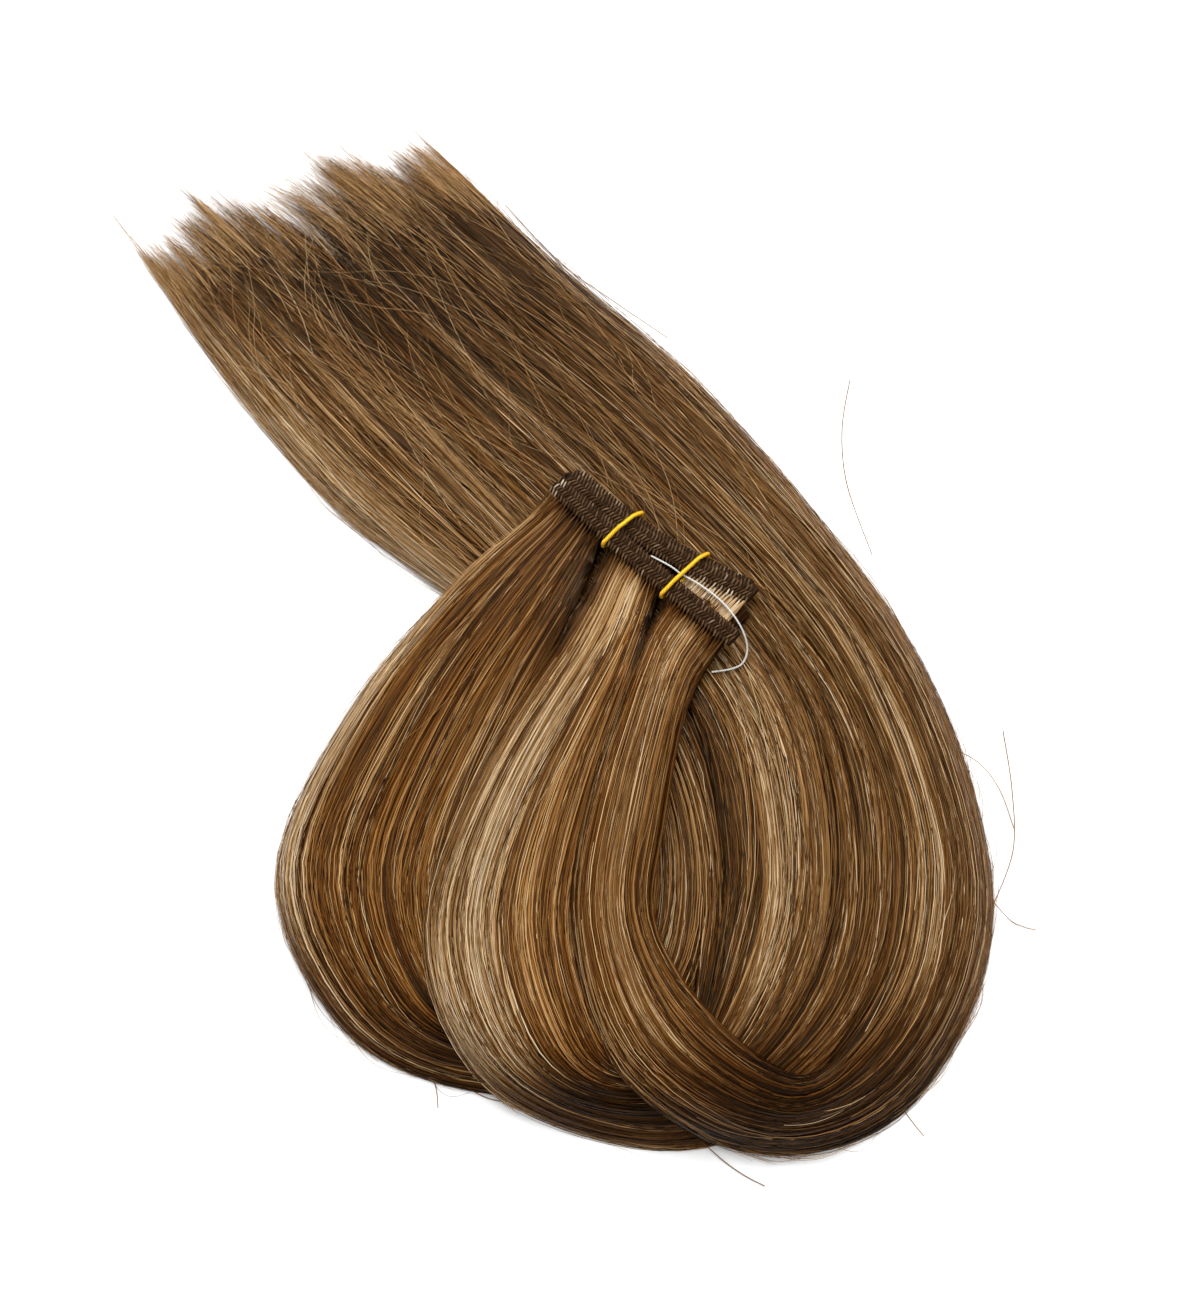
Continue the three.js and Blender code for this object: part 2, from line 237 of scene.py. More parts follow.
# %% Floor
# Uncoated paper: matt white, with the faintest grain
PAPER_GRAIN_MM = 0.5
paper, output = new_material("matt_white_paper")
grain = add_node(paper, "ShaderNodeTexNoise", {"Scale": 1000 / PAPER_GRAIN_MM, "Detail": 2.0})
tint = add_node(paper, "ShaderNodeValToRGB", {"Fac": grain.outputs["Fac"]},
                stops=[(0.0, "#f4f4f4"), (1.0, "#f8f8f8")])
surface = add_node(paper, "ShaderNodeBsdfPrincipled",
                   {"Base Color": tint.outputs["Color"], "Roughness": 0.95, "Specular IOR Level": 0.1})
paper.node_tree.links.new(surface.outputs["BSDF"], output.inputs["Surface"])
FLOOR_M = 4.0  # half its side
corners = [(x * FLOOR_M, y * FLOOR_M, 0.0) for x, y in ((-1, -1), (1, -1), (1, 1), (-1, 1))]
sweep = bpy.data.meshes.new("floor")
sweep.from_pydata(corners, [], [(0, 1, 2, 3)])
sweep.materials.append(paper)
floor = bpy.data.objects.new("floor", sweep)
bpy.context.scene.collection.objects.link(floor)

# %% Light
world = bpy.data.worlds.new("studio")
bpy.context.scene.world = world
world.use_nodes = True
world.node_tree.nodes["Background"].inputs["Color"].default_value = (1.0, 1.0, 1.0, 1.0)
world.node_tree.nodes["Background"].inputs["Strength"].default_value = 0.85
softbox_data = bpy.data.lights.new("softbox", "AREA")
softbox_data.shape = "SQUARE"
softbox_data.size = 1.4
softbox_data.energy = 44.0
softbox = bpy.data.objects.new("softbox", softbox_data)
softbox.location = (0.0, 0.9, 1.5)
softbox.rotation_euler = (-softbox.location).to_track_quat("-Z", "Y").to_euler()
bpy.context.scene.collection.objects.link(softbox)
bpy.context.scene.view_settings.view_transform = "Standard"
print("floor and softbox in place")

# %% [markdown]
# ## The three locks
# The ties part the hair in three locks. Each one leaves the band, turns at the bottom and comes back to
# the tail. A table gives a lock its sections from root to tip: the outer and the inner edge on the table,
# the height of what the lock lies on, and how thick the hair is over it. These are the part's own numbers,
# apart from a few inner points of the middle lock. One more row lets the tips run on straight.

# %% Tables of the locks
# outer x, outer y, inner x, inner y, base, thickness
OUTER, INNER, BASE, THICK = slice(0, 2), slice(2, 4), 4, 5
LOCKS = {
    "left": [
        (-7, 39.5, 5, 28.8, 8.4, 1), (-12.3, 35.1, -0.2, 22.5, 8, 5.8), (-35, 14, -5, 8, 7.5, 9),
        (-58, -14, -20, -21, 2.5, 12.5), (-74.5, -54, -33, -57, 0, 14), (-60, -88, -29, -81, 0, 12),
        (-33, -103, -20, -88, 0, 9.5), (5, -103, -9, -81, 0, 8.5), (26, -79, 0, -58, 0, 8.5),
        (25, -38, -2, -31, 0, 8), (5, 2, -24, 4, 0, 8), (-43, 59, -63, 36, 0, 7),
        (-75, 94, -92, 71, 0, 5), (-102, 123, -119, 110, 0, 1.5),
    ],
    "middle": [
        (7.5, 26.3, 20.6, 17.4, 8.4, 1), (1.7, 20.8, 13.8, 9.9, 8, 5.8), (-8, 1, 9, -7, 7.5, 9),
        (-26, -30, 0, -36, 5.5, 12), (-39, -68, -6, -69, 4, 14), (-30, -98, 1, -96, 5.5, 12.5),
        (-5, -113, 10, -101, 1.5, 11), (27, -115, 18, -91, 0, 9), (60, -93, 18, -69, 0, 8.5),
        (72, -57, 18, -46, 0, 8), (64, -11, 9, -13, 0, 8), (29, 37, -24, 30, 0, 8),
        (-28, 97, -68, 76, 0, 6), (-63, 135, -100, 118, 0, 1.5),
    ],
    "right": [
        (21.4, 14, 35.6, 6.1, 8.4, 5), (15.6, 8.2, 28, -3, 8, 5.8), (9, -5, 20, -18, 7.5, 9.5),
        (-2, -39, 14, -47, 7.5, 12), (-6, -71, 12, -70, 7.5, 13), (5, -104, 25, -91, 7, 13),
        (36, -118, 44, -103, 3.5, 13), (66, -110, 57, -90, 0, 13), (86, -81, 66, -69, 0, 11.5),
        (89, -46, 66, -37, 0, 10.5), (73, 4, 47, 7, 0, 10), (30, 65, 1, 60, 0, 8.5),
        (-10, 104, -38, 98, 0, 6), (-42, 139, -71, 132, 0, 1.5),
    ],
}
LAST_ROW = 13
PAST_TIPS_THICK = 0.5
for rows in LOCKS.values():
    past = 2 * np.array(rows[-1]) - np.array(rows[-2])
    rows.append((*past[:BASE], 0.0, PAST_TIPS_THICK))
print("locks:", {name: len(rows) for name, rows in LOCKS.items()}, "rows")

# %% [markdown]
# ## The skin of a lock
# A lock is round on top, but it falls off to the table only where nothing lies beside it: next to another
# lock its side stays up. So each side has its own share of the fall, on the way down and on the way back.
# Two numbers find a place on the skin: s counts the rows, and q goes over the lock from edge to edge.

# %% Skin of a lock
# share of the height that a side falls off: outer and inner side on the way down, then on the way back
SIDE_FALL = {
    "left": (1.0, 0.15, 0.15, 1.0), "middle": (0.4, 0.1, 0.15, 0.3), "right": (0.28, 0.6, 1.0, 0.35),
}
UP_FROM = 1.4  # row where the sides start to stay up
DOWN_TO = {"left": 6.0, "middle": 4.9, "right": 5.4}  # row where the outer side comes down to the table
INNER_DOWN_TO = 6.0
BACK_FROM = {"left": 7.4, "middle": 7.4, "right": 6.6}  # row where the way back starts
TURN_ROWS, TURN_EASE = (5.2, 7.8), 1.2
LEAN_IN_TURN = 0.7  # how far the crown moves to the inner side where the hair turns
WIDTH_POWER = 0.8  # under 1, the way over the lock spends more of itself near the edges
BASE_AT_EDGE, BASE_SLOPE = 0.2, 3.0  # the base is full height a little inside the edges
STEP_Q, STEP_S = 0.004, 0.02


def window(s, first, last, ease=0.5):
    """1 between two rows and 0 outside, with soft ends."""
    return np.clip((s - first) / ease + 0.5, 0, 1) * np.clip((last - s) / ease + 0.5, 0, 1)


def lock_skin(name, s, q):
    """Points on a lock: s counts rows from the root, q goes over the lock from outer to inner edge."""
    rows = smooth(LOCKS[name], s)
    swing = np.cos(np.pi * q)[..., None]
    lean = 1.0 + LEAN_IN_TURN * window(s, *TURN_ROWS, TURN_EASE)
    rise = np.sin(np.pi * np.sign(q) * np.abs(q) ** lean)
    outer_down, inner_down, outer_back, inner_back = SIDE_FALL[name]
    back = window(s, BACK_FROM[name], LAST_ROW + 1)
    outer_fall = 1 - (1 - outer_down) * window(s, UP_FROM, DOWN_TO[name]) - (1 - outer_back) * back
    inner_fall = 1 - (1 - inner_down) * window(s, UP_FROM, INNER_DOWN_TO) - (1 - inner_back) * back
    fall = np.where(q < 0.5 ** (1 / lean), outer_fall, inner_fall)
    rise = (1.0 - (1.0 - rise) * fall)[..., None]
    across = 0.5 - 0.5 * np.sign(swing) * np.abs(swing) ** WIDTH_POWER
    base = np.maximum(rows[..., BASE, None], 0.0) * np.clip(BASE_AT_EDGE + BASE_SLOPE * rise, 0.0, 1.0)
    flat = rows[..., OUTER] + (rows[..., INNER] - rows[..., OUTER]) * across
    return np.concatenate([flat, base + rows[..., THICK, None] * rise], axis=-1)


def lock_out(name, s, q):
    """Unit vectors straight out of a lock's skin."""
    over = lock_skin(name, s, q + STEP_Q) - lock_skin(name, s, q - STEP_Q)
    run = lock_skin(name, s + STEP_S, q) - lock_skin(name, s - STEP_S, q)
    return unit(np.cross(run, over))


# %% [markdown]
# ## Hair finish
# Human hair, dyed in several browns with blonde streaks and combed straight. Each hair is a smooth keratin
# fibre of IOR 1.55: it takes a clear highlight across its length, and its colour comes from inside. So the
# colour is a number on every strand, its tone, that a ramp turns to brown or blonde. A second number warms
# a strand to the copper browns of another ramp, which has the same lights and darks.

# %% Hair finish
# Keratin fibre, dyed and combed: half-gloss, colour changes from strand to strand
keratin, output = new_material("dyed_hair_combed_straight")
tone = add_node(keratin, "ShaderNodeAttribute", attribute_name="tone")
copper = add_node(keratin, "ShaderNodeAttribute", attribute_name="copper")
browns = add_node(keratin, "ShaderNodeValToRGB", {"Fac": tone.outputs["Fac"]},
                  stops=[(0.0, "#0d0602"), (1.0, "#cfbda2"), (0.2, "#281606"), (0.4, "#4b2b0e"),
                         (0.5, "#5d3c18"), (0.6, "#725029"), (0.72, "#926f47"), (0.86, "#b1946c")])
coppers = add_node(keratin, "ShaderNodeValToRGB", {"Fac": tone.outputs["Fac"]},
                   stops=[(0.0, "#0d0501"), (1.0, "#d2b88e"), (0.2, "#2a1202"), (0.4, "#4f2806"),
                          (0.5, "#63380c"), (0.6, "#7a4c19"), (0.72, "#996b36"), (0.86, "#b6915c")])
dyed = add_node(keratin, "ShaderNodeMix",
                {"Factor": copper.outputs["Fac"], "A": browns.outputs["Color"],
                 "B": coppers.outputs["Color"]}, data_type="RGBA")
PATCH_MM = 25.0  # combing leaves smoother and rougher patches of this size
patch = add_node(keratin, "ShaderNodeTexNoise", {"Scale": 1000 / PATCH_MM, "Detail": 2.0})
gloss = add_node(keratin, "ShaderNodeMapRange",
                 {"Value": patch.outputs["Fac"], "To Min": 0.27, "To Max": 0.4})
surface = add_node(keratin, "ShaderNodeBsdfPrincipled",
                   {"Base Color": dyed.outputs["Result"], "Roughness": gloss.outputs["Result"],
                    "IOR": 1.55, "Specular IOR Level": 0.17, "Specular Tint": linear("#e0b888")})
keratin.node_tree.links.new(surface.outputs["BSDF"], output.inputs["Surface"])
print("hair finish with", len(keratin.node_tree.nodes), "nodes")

# %% [markdown]
# ## Inner hair
# Nobody sees the middle of a bundle, only dark hair between the outer strands. Filling it with strands
# would waste them, so each lock gets a closed body a little inside its skin, painted as dark as the shade
# between the strands, in streaks that run along the hair.

# %% Inner hair finish
# The same fibre with the painted shade of the outer strands: dark, matt, streaked along its length
inner_hair, output = new_material("dyed_hair_painted_shade")
lane = add_node(inner_hair, "ShaderNodeAttribute", attribute_name="lane_mm")
run = add_node(inner_hair, "ShaderNodeAttribute", attribute_name="run_mm")
grid = add_node(inner_hair, "ShaderNodeCombineXYZ",
                {"X": lane.outputs["Fac"], "Y": run.outputs["Fac"]})
STREAK_MM = (0.5, 40.0)  # streaks of a few hairs, and how long one keeps its colour
stretch = add_node(inner_hair, "ShaderNodeMapping",
                   {"Vector": grid.outputs["Vector"], "Scale": (1 / STREAK_MM[0], 1 / STREAK_MM[1], 1.0)})
streaks = add_node(inner_hair, "ShaderNodeTexNoise",
                   {"Vector": stretch.outputs["Vector"], "Scale": 1.0, "Detail": 3.0})
shade = add_node(inner_hair, "ShaderNodeValToRGB", {"Fac": streaks.outputs["Fac"]},
                 stops=[(0.3, "#0a0402"), (0.75, "#3e270f"), (0.5, "#211205")])
relief = add_node(inner_hair, "ShaderNodeBump",
                  {"Height": streaks.outputs["Fac"], "Strength": 0.6, "Distance": 0.0004})
surface = add_node(inner_hair, "ShaderNodeBsdfPrincipled",
                   {"Base Color": shade.outputs["Color"], "Roughness": 0.5, "IOR": 1.55,
                    "Specular IOR Level": 0.15, "Normal": relief.outputs["Normal"]})
inner_hair.node_tree.links.new(surface.outputs["BSDF"], output.inputs["Surface"])

# %% Inner hair
INSET_MM = 1.5
FULL_THICK_MM = 8.0  # a lock thinner than this has all its hair closer to its skin
INNER_FLOOR_MM = 0.3
LOCK_ROUND_MM, HAIR_LONG_MM = 60, 450
s = np.linspace(0.15, LAST_ROW - 0.9, 70)[:, None]
q = np.linspace(0.02, 0.98, 26)[None, :]
bodies = []
for name in LOCKS:
    room = np.clip(smooth(LOCKS[name], s[:, 0])[:, THICK] / FULL_THICK_MM, 0.1, 1.0)[:, None, None]
    grid_s, grid_q = np.broadcast_arrays(s, q)
    body = lock_skin(name, grid_s, grid_q) - INSET_MM * room * lock_out(name, grid_s, grid_q)
    body[..., 2] = np.maximum(body[..., 2], INNER_FLOOR_MM)
    foot = body[:, [-1, 0]]
    foot[..., 2] = INNER_FLOOR_MM
    bodies.append(np.concatenate([body, foot], axis=1))
lanes = np.concatenate([np.linspace(0, LOCK_ROUND_MM, q.size), [LOCK_ROUND_MM, 0]])[None, None, :]
runs = np.linspace(0, HAIR_LONG_MM, s.size)[None, :, None]
core = piece("hair_inner", np.stack(bodies), True, inner_hair, "hair", lane_mm=lanes, run_mm=runs)
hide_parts("hair")

# %% [markdown]
# ## Strands
# Combed hair falls in wisps: small groups of hairs that run together and lie a little over or under their
# neighbours. Particle hair would have to be turned into a mesh for export, with no say over each strand, so
# the strands are made here: flat ribbons that follow a lock from root to tip. Each ribbon is turned a little
# about its own line, so that neighbours catch the light differently, as round hairs do. One strand in eleven
# is loose: it leaves its wisp, lies on top and crosses the others.

# %% Streaks
# Blonde, dark and copper streaks, with painted shadow beside the ties and painted light along some edges
# lock, middle across the lock, half width, first row, last row, change of tone, change of copper
STREAKS = [
    # painted sheen along the outer edge of the left lock
    ("left", 0.04, 0.09, 0.5, 4.4, 0.36, 0.0),
    # painted shadow beside the left tie
    ("left", 1.00, 0.14, 0.8, 2.4, -0.40, 0.0),
    ("left", 0.50, 0.40, 1.0, 5.0, -0.03, 0.15),
    ("left", 0.35, 0.05, 2.0, 4.8, 0.10, 0.0),
    # partly lighter hair, and partly painted light where the tail's inner edge faces away from the light
    ("left", 0.95, 0.18, 9.0, 13.5, 0.32, 0.0),
    ("left", 0.60, 0.40, 11.0, 12.5, 0.20, 0.0),
    ("left", 0.12, 0.15, 11.6, 13.5, -0.14, 0.0),
    ("middle", 0.26, 0.24, 0.0, 5.4, 0.31, 0.0),
    ("middle", 0.32, 0.07, 0.0, 5.4, 0.14, 0.0),
    ("middle", 0.04, 0.08, 4.2, 6.8, 0.20, 0.0),
    ("middle", 0.66, 0.14, 0.6, 5.0, 0.06, 0.28),
    # painted shadow beside the left tie and beside the right tie
    ("middle", 0.00, 0.05, 0.8, 2.4, -0.30, 0.0),
    ("middle", 1.00, 0.14, 0.8, 2.0, -0.40, 0.0),
    ("middle", 0.55, 0.045, 7.0, 10.6, 0.36, 0.0),
    ("middle", 0.88, 0.20, 7.2, 10.4, -0.24, 0.0),
    ("middle", 0.48, 0.04, 10.6, 12.3, 0.22, 0.0),
    ("middle", 0.58, 0.035, 11.0, 12.8, 0.22, 0.0),
    ("middle", 0.60, 0.35, 11.8, 12.9, -0.14, 0.0),
    ("right", 0.45, 0.12, 0.0, 5.0, 0.14, 0.0),
    # painted shadow beside the right tie
    ("right", 0.00, 0.08, 0.8, 2.0, -0.20, 0.0),
    ("right", 0.50, 0.30, 0.0, 2.4, 0.12, 0.0),
    ("right", 0.22, 0.14, 0.6, 4.6, 0.0, 0.30),
    # painted shade on the inner edge where the right lock turns
    ("right", 1.00, 0.12, 5.4, 7.2, -0.16, 0.0),
    ("right", 0.60, 0.05, 7.6, 9.8, 0.24, 0.0),
    ("right", 0.78, 0.06, 6.8, 10.8, 0.14, 0.0),
    # painted light along the outer edge of the way back and the tail, with copper dye
    ("right", 0.00, 0.12, 7.6, 13.5, 0.20, 0.4),
]
# a streak's change of tone is dye, painted shadow or painted light, as listed in the table above
EVEN_STREAK_SHARE = 0.35  # part of its dye that a streak gives to all strands near it, and the rest to some


def dye_and_painted_light(name, label, s, luck):
    """Change of tone and of copper along strands of a lock, from dye, painted shadow and painted light: near
    a streak, most strands take its change.
    """
    across = 0.5 - 0.5 * np.cos(np.pi * label)
    lighter, redder = np.zeros(s.shape), np.zeros(s.shape)
    for lock, middle, half, first, last, tone_change, copper_change in STREAKS:
        if lock == name:
            share = np.exp(-(((across - middle) / half) ** 2))
            taken = EVEN_STREAK_SHARE * share + (1 - EVEN_STREAK_SHARE) * (share > luck)
            taken = taken[:, None] * window(s, first, last)
            lighter += tone_change * taken
            redder += copper_change * taken
    return lighter, redder


# %% [markdown]
# ## Tips
# Combed hair does not end in a straight cut. Its tips draw into small pointed tufts, some hairs are longer,
# many are shorter, and those at the edges of a lock are the shortest. So the place of a strand across its
# lock gives it a tuft, and the tuft and a little luck give it its end.

# %% Tips of strands
TUFTS_AT_TIPS = 11
TUFT_JITTER = 0.35  # share of a tuft's width that its edges may move
TUFT_POINT = 4.0  # how pointed a tuft is: rows lost for each lock's width from its middle
RAGGED, BENT = 0.06, 0.10  # how tufts differ in length, in rows, and how far across the lock they bend
PAST_LAST = 0.2  # rows that the middle of a tuft reaches past the last one
QUARTERS = (0.125, 0.375, 0.625, 0.875)  # middles of the four quarters of a lock
TIPS_SHORT = {  # how much shorter the hair is in each quarter
    "left": (0.04, 0.16, 0.24, 0.22), "middle": (0.14, 0.0, 0.16, 0.06), "right": (0.0, 0.1, 0.02, 0.14),
}
SHORT_SHARE = 0.8  # rows for each 1 in that table
EDGE_WIDE, EDGE_SHORT = 0.08, 0.5  # hairs at the edges of a lock are the shorter ones
LONG_SHARE, LONG_BY = 0.10, 0.15  # some single hairs are longer, by so many rows
WORN = (1.3, 0.2)  # shape and scale of the rows that every hair falls short by


def tips(name, label, rng):
    """Row where each strand ends, the middle of its tuft, and how the tuft bends to the inner side."""
    short = SHORT_SHARE * np.interp(label, QUARTERS, TIPS_SHORT[name])
    tuft_rng = np.random.default_rng(40 + len(name))
    edges = np.arange(TUFTS_AT_TIPS + 1) / TUFTS_AT_TIPS
    edges[1:-1] += tuft_rng.uniform(-TUFT_JITTER, TUFT_JITTER, TUFTS_AT_TIPS - 1) / TUFTS_AT_TIPS
    tuft = np.clip(np.searchsorted(edges, label) - 1, 0, TUFTS_AT_TIPS - 1)
    middle = 0.5 * (edges[tuft] + edges[tuft + 1])
    ragged = tuft_rng.normal(0.0, RAGGED, TUFTS_AT_TIPS)
    bent = tuft_rng.uniform(0.0, BENT, TUFTS_AT_TIPS)
    edge = np.clip(1 - np.minimum(label, 1 - label) / EDGE_WIDE, 0, 1)
    end = LAST_ROW + PAST_LAST - short + ragged[tuft]
    end = end - TUFT_POINT * np.abs(label - middle) - EDGE_SHORT * edge
    longer = LONG_BY * (rng.random(label.size) < LONG_SHARE)
    return end + longer - rng.gamma(*WORN, label.size), middle, bent[tuft]


# %% [markdown]
# ## Lines of strands
# A strand is a row of points on its lock. The points lie closest where the hair turns, and each strand has
# them at other places, so that no edge shows where all of them would bend at once. Across the lock a strand
# sways with its wisp and by itself, and in depth it dives under others and comes up again.

# %% Where strands run along a lock
STRAND_ROWS = np.concatenate([  # closest where the hair turns
    np.linspace(0, 3, 6, endpoint=False), np.linspace(3, 5, 9, endpoint=False),
    np.linspace(5, 8, 17, endpoint=False), np.linspace(8, 10.2, 9, endpoint=False),
    np.linspace(10.2, 12.4, 4, endpoint=False), np.linspace(12.4, LAST_ROW, 4),
])
TAIL_ROW, TIPS_ROW = 9.5, 12.0  # where the tail starts, and where its hairs draw into tufts


def rows_of_strands(end, rng):
    """Rows at the points of strands. Each has its points elsewhere, and its tail stretches to its own end."""
    order = np.arange(STRAND_ROWS.size)
    shift = rng.uniform(-0.5, 0.5, (end.size, 1)) * ((order > 0) & (order < order[-1]))
    s = np.interp(order + shift, order, STRAND_ROWS)
    return s + (end[:, None] - LAST_ROW) * np.clip((s - TAIL_ROW) / (LAST_ROW - TAIL_ROW), 0, 1)


# %% Where strands run across a lock
LOOSE_SWAY, HELD_SWAY = (0.01, 0.035), (0.003, 0.014)
LOOSE_DRIFT, HELD_DRIFT, SPLAY = 0.045, 0.006, 0.02
FREE_AT_TIPS = 0.25  # share of strands that stay out of the tufts
PULL_FREE, PULL_HELD = 0.1, 0.75  # share of the way to the middle of its tuft that a strand goes
FRAY, FRAY_ROW = 0.12, 12.5


def sways(loose, s, rng):
    """How far strands leave their place across the lock. In the tail, loose ones drift off at an angle."""
    count, column = loose.size, (loose.size, 1)
    size = np.where(loose, rng.uniform(*LOOSE_SWAY, count), rng.uniform(*HELD_SWAY, count))
    drift = np.where(loose, rng.normal(0, LOOSE_DRIFT, count), rng.normal(0, HELD_DRIFT, count))
    splay = rng.normal(0, SPLAY, column) * np.clip(s - TIPS_ROW, 0, 2) ** 1.5
    turns, start = rng.uniform(0.7, 2.0, column), rng.uniform(0, 6.3, column)
    grown = 1.0 + 2.0 * np.clip(s - 10, 0, 3) / 3
    waves = size[:, None] * grown * np.sin(turns * s + start)
    return waves + drift[:, None] * np.clip(s - TAIL_ROW, 0, 4) + splay


def gathered(place, s, tuft, bent, rng):
    """Places across a lock once the tips are drawn into tufts, bent to the inner side and frayed."""
    in_tips = np.clip(s - TIPS_ROW, 0, 1.2)
    pull = np.where(rng.random(len(s)) < FREE_AT_TIPS, PULL_FREE, PULL_HELD)
    pull = pull[:, None] * np.minimum(in_tips, 1) ** 2
    place = place + pull * (tuft[:, None] - place) + bent[:, None] * in_tips**3
    return place + rng.normal(0.0, FRAY, (len(s), 1)) * np.clip(s - FRAY_ROW, 0, 1) ** 2


# %% Lines of strands
DIVE_MM = 0.35
LOOSE_LIFT_MM = (1.5, 0.2)  # shape and scale of how high loose strands lie
LIFT_FROM, LIFT_OVER = 1.5, 1.5  # rows
LEAST_ROOM = 0.12  # share of its depth that a strand keeps where the lock is thinnest
ROOT_FAN = {"left": 1.0, "middle": 0.6, "right": 1.0}  # strands of the middle lock fan out from the right
FAN_FROM, FAN_LONG = 0.8, 2.4  # rows
CROWN_CLOSER = 0.055  # strands lie a little closer on the crown of a lock than at its edges
# past the edge of a lock a strand keeps this share of its sway, and all of it in the tips
KEPT_PAST_EDGE, FREE_ROW = 0.4, 11.6
HAIR_FLOOR_MM = 0.25


def depths(loose, deep, s, rng):
    """How deep strands lie in the lock. They dive under their neighbours and come up again."""
    column = (loose.size, 1)
    turns, start = rng.uniform(0.6, 1.6, column), rng.uniform(0, 6.3, column)
    held = np.maximum(deep[:, None] + DIVE_MM * np.sin(turns * s + start), 0.0)
    lifted = rng.gamma(*LOOSE_LIFT_MM, column) * np.clip((s - LIFT_FROM) / LIFT_OVER, 0, 1)
    return np.where(loose[:, None], -lifted, held)


def lines_of_strands(name, s, place, loose, deep, rng):
    """Points along strands of a lock, and the directions straight out of it there."""
    inside = np.clip(place, 0.002, 0.998)
    fan = ROOT_FAN[name] + (1.0 - ROOT_FAN[name]) * np.clip((s - FAN_FROM) / FAN_LONG, 0, 1)
    u = inside ** fan
    q = np.clip(u + CROWN_CLOSER * np.sin(2 * np.pi * u), 0.0, 1.0)
    rows = smooth(LOCKS[name], s)
    room = np.where(loose[:, None], 1.0, np.clip(rows[..., THICK] / FULL_THICK_MM, LEAST_ROOM, 1.0))
    out = lock_out(name, s, q)
    line = lock_skin(name, s, q) - out * (depths(loose, deep, s, rng) * room)[..., None]
    passed = (place - inside) * np.clip(s - FREE_ROW, KEPT_PAST_EDGE, 1.0)
    line[..., :2] += passed[..., None] * (rows[..., INNER] - rows[..., OUTER])
    line[..., 2] = np.maximum(line[..., 2], HAIR_FLOOR_MM)
    return line, out


# %% [markdown]
# ## Colours of strands
# Every strand has a tone of its own, near that of its wisp. The lock adds painted shade where less light gets
# in, and is darker before the tips. The streaks add their dye, some add painted shadow and some painted
# light, and deeper strands get painted shade. The front of the bundle is warmer than the tail. The numbers go
# to the points of the mesh, where the hair finish reads them.

# %% Colours of strands
# rows, and the change of tone there: painted shade under the band and in the turn, and darker before the tips
TONE_AND_PAINTED_SHADE_BY_ROW = ((0, 1.0, 1.7, 3, 4.8, 5.8, 7.0, 8, 10.5, 11.8, 12.6, 13.1),
                (-0.3, -0.24, -0.1, 0.04, 0.03, -0.26, -0.18, 0.04, 0.06, -0.17, -0.34, -0.12))
PALE_AT_TIPS, PALE_ROWS = 0.4, 0.3  # about the last centimetre of a hair lets light through
LIGHT_SHARE, LIGHT_BY = 0.10, 0.20  # some strands are lighter than the rest
DARK_SHARE, DARK_BY = 0.20, 0.26  # and more of them darker
OWN_COPPER, FRONT_COPPER = 0.2, 0.5
COPPER_ROWS, COPPER_EASE = (-1.0, 7.6), 2.0
NO_COPPER_FROM = 0.25  # a streak that is lighter by this has no copper but its own
MOST_TONE = 0.92


def colours_of_strands(name, label, s, end, tones, rng):
    """Tone and copper along strands, from their own tone, the lock's painted shade by row, the streaks, and
    pale tips.
    """
    light, dark = rng.random(label.size) < LIGHT_SHARE, rng.random(label.size) < DARK_SHARE
    tones = tones + (LIGHT_BY * light - DARK_BY * dark)
    lighter, redder = dye_and_painted_light(name, label, s, rng.random(label.size))
    coppers = OWN_COPPER * rng.random(label.size)[:, None] ** 2
    coppers = coppers + FRONT_COPPER * window(s, *COPPER_ROWS, COPPER_EASE)
    coppers = redder + coppers * np.clip(1 - lighter / NO_COPPER_FROM, 0, 1)
    pale = PALE_AT_TIPS * np.clip(1 - (end[:, None] - s) / PALE_ROWS, 0, 1)
    tones = tones[:, None] + np.interp(s, *TONE_AND_PAINTED_SHADE_BY_ROW) + pale + lighter
    return np.clip(tones, 0, MOST_TONE), np.clip(coppers, 0, 1)


# %% Strands
WISPS_IN_LOCK = 36
WISP_LIFT_MM, WISP_TONE = (-0.6, 0.4), 0.05
WISP_SWAY, WISP_TURNS = (0.004, 0.014), 1.1  # share of the lock, and radians in a row
WISP_SPREAD = 0.45  # of its strands, in wisps
DEPTH_POWER = 1.4  # over 1, more strands lie near the skin
SIDES_SINK_MM = 0.5  # a wisp is round: strands at its sides lie deeper
LOOSE_SHARE, LOOSE_THIN, LOOSE_LIGHTER = 0.09, 0.7, 0.04
MEAN_TONE, TONE_SPREAD = 0.46, 0.20
# painted shade: strands that lie deeper in the lock are darker
DEPTH_PAINTED_SHADE = 0.06  # change of tone for each mm of depth
THICK_SPREAD = 0.3
TAPER_ROWS, TAPER_TO = 0.7, 0.22


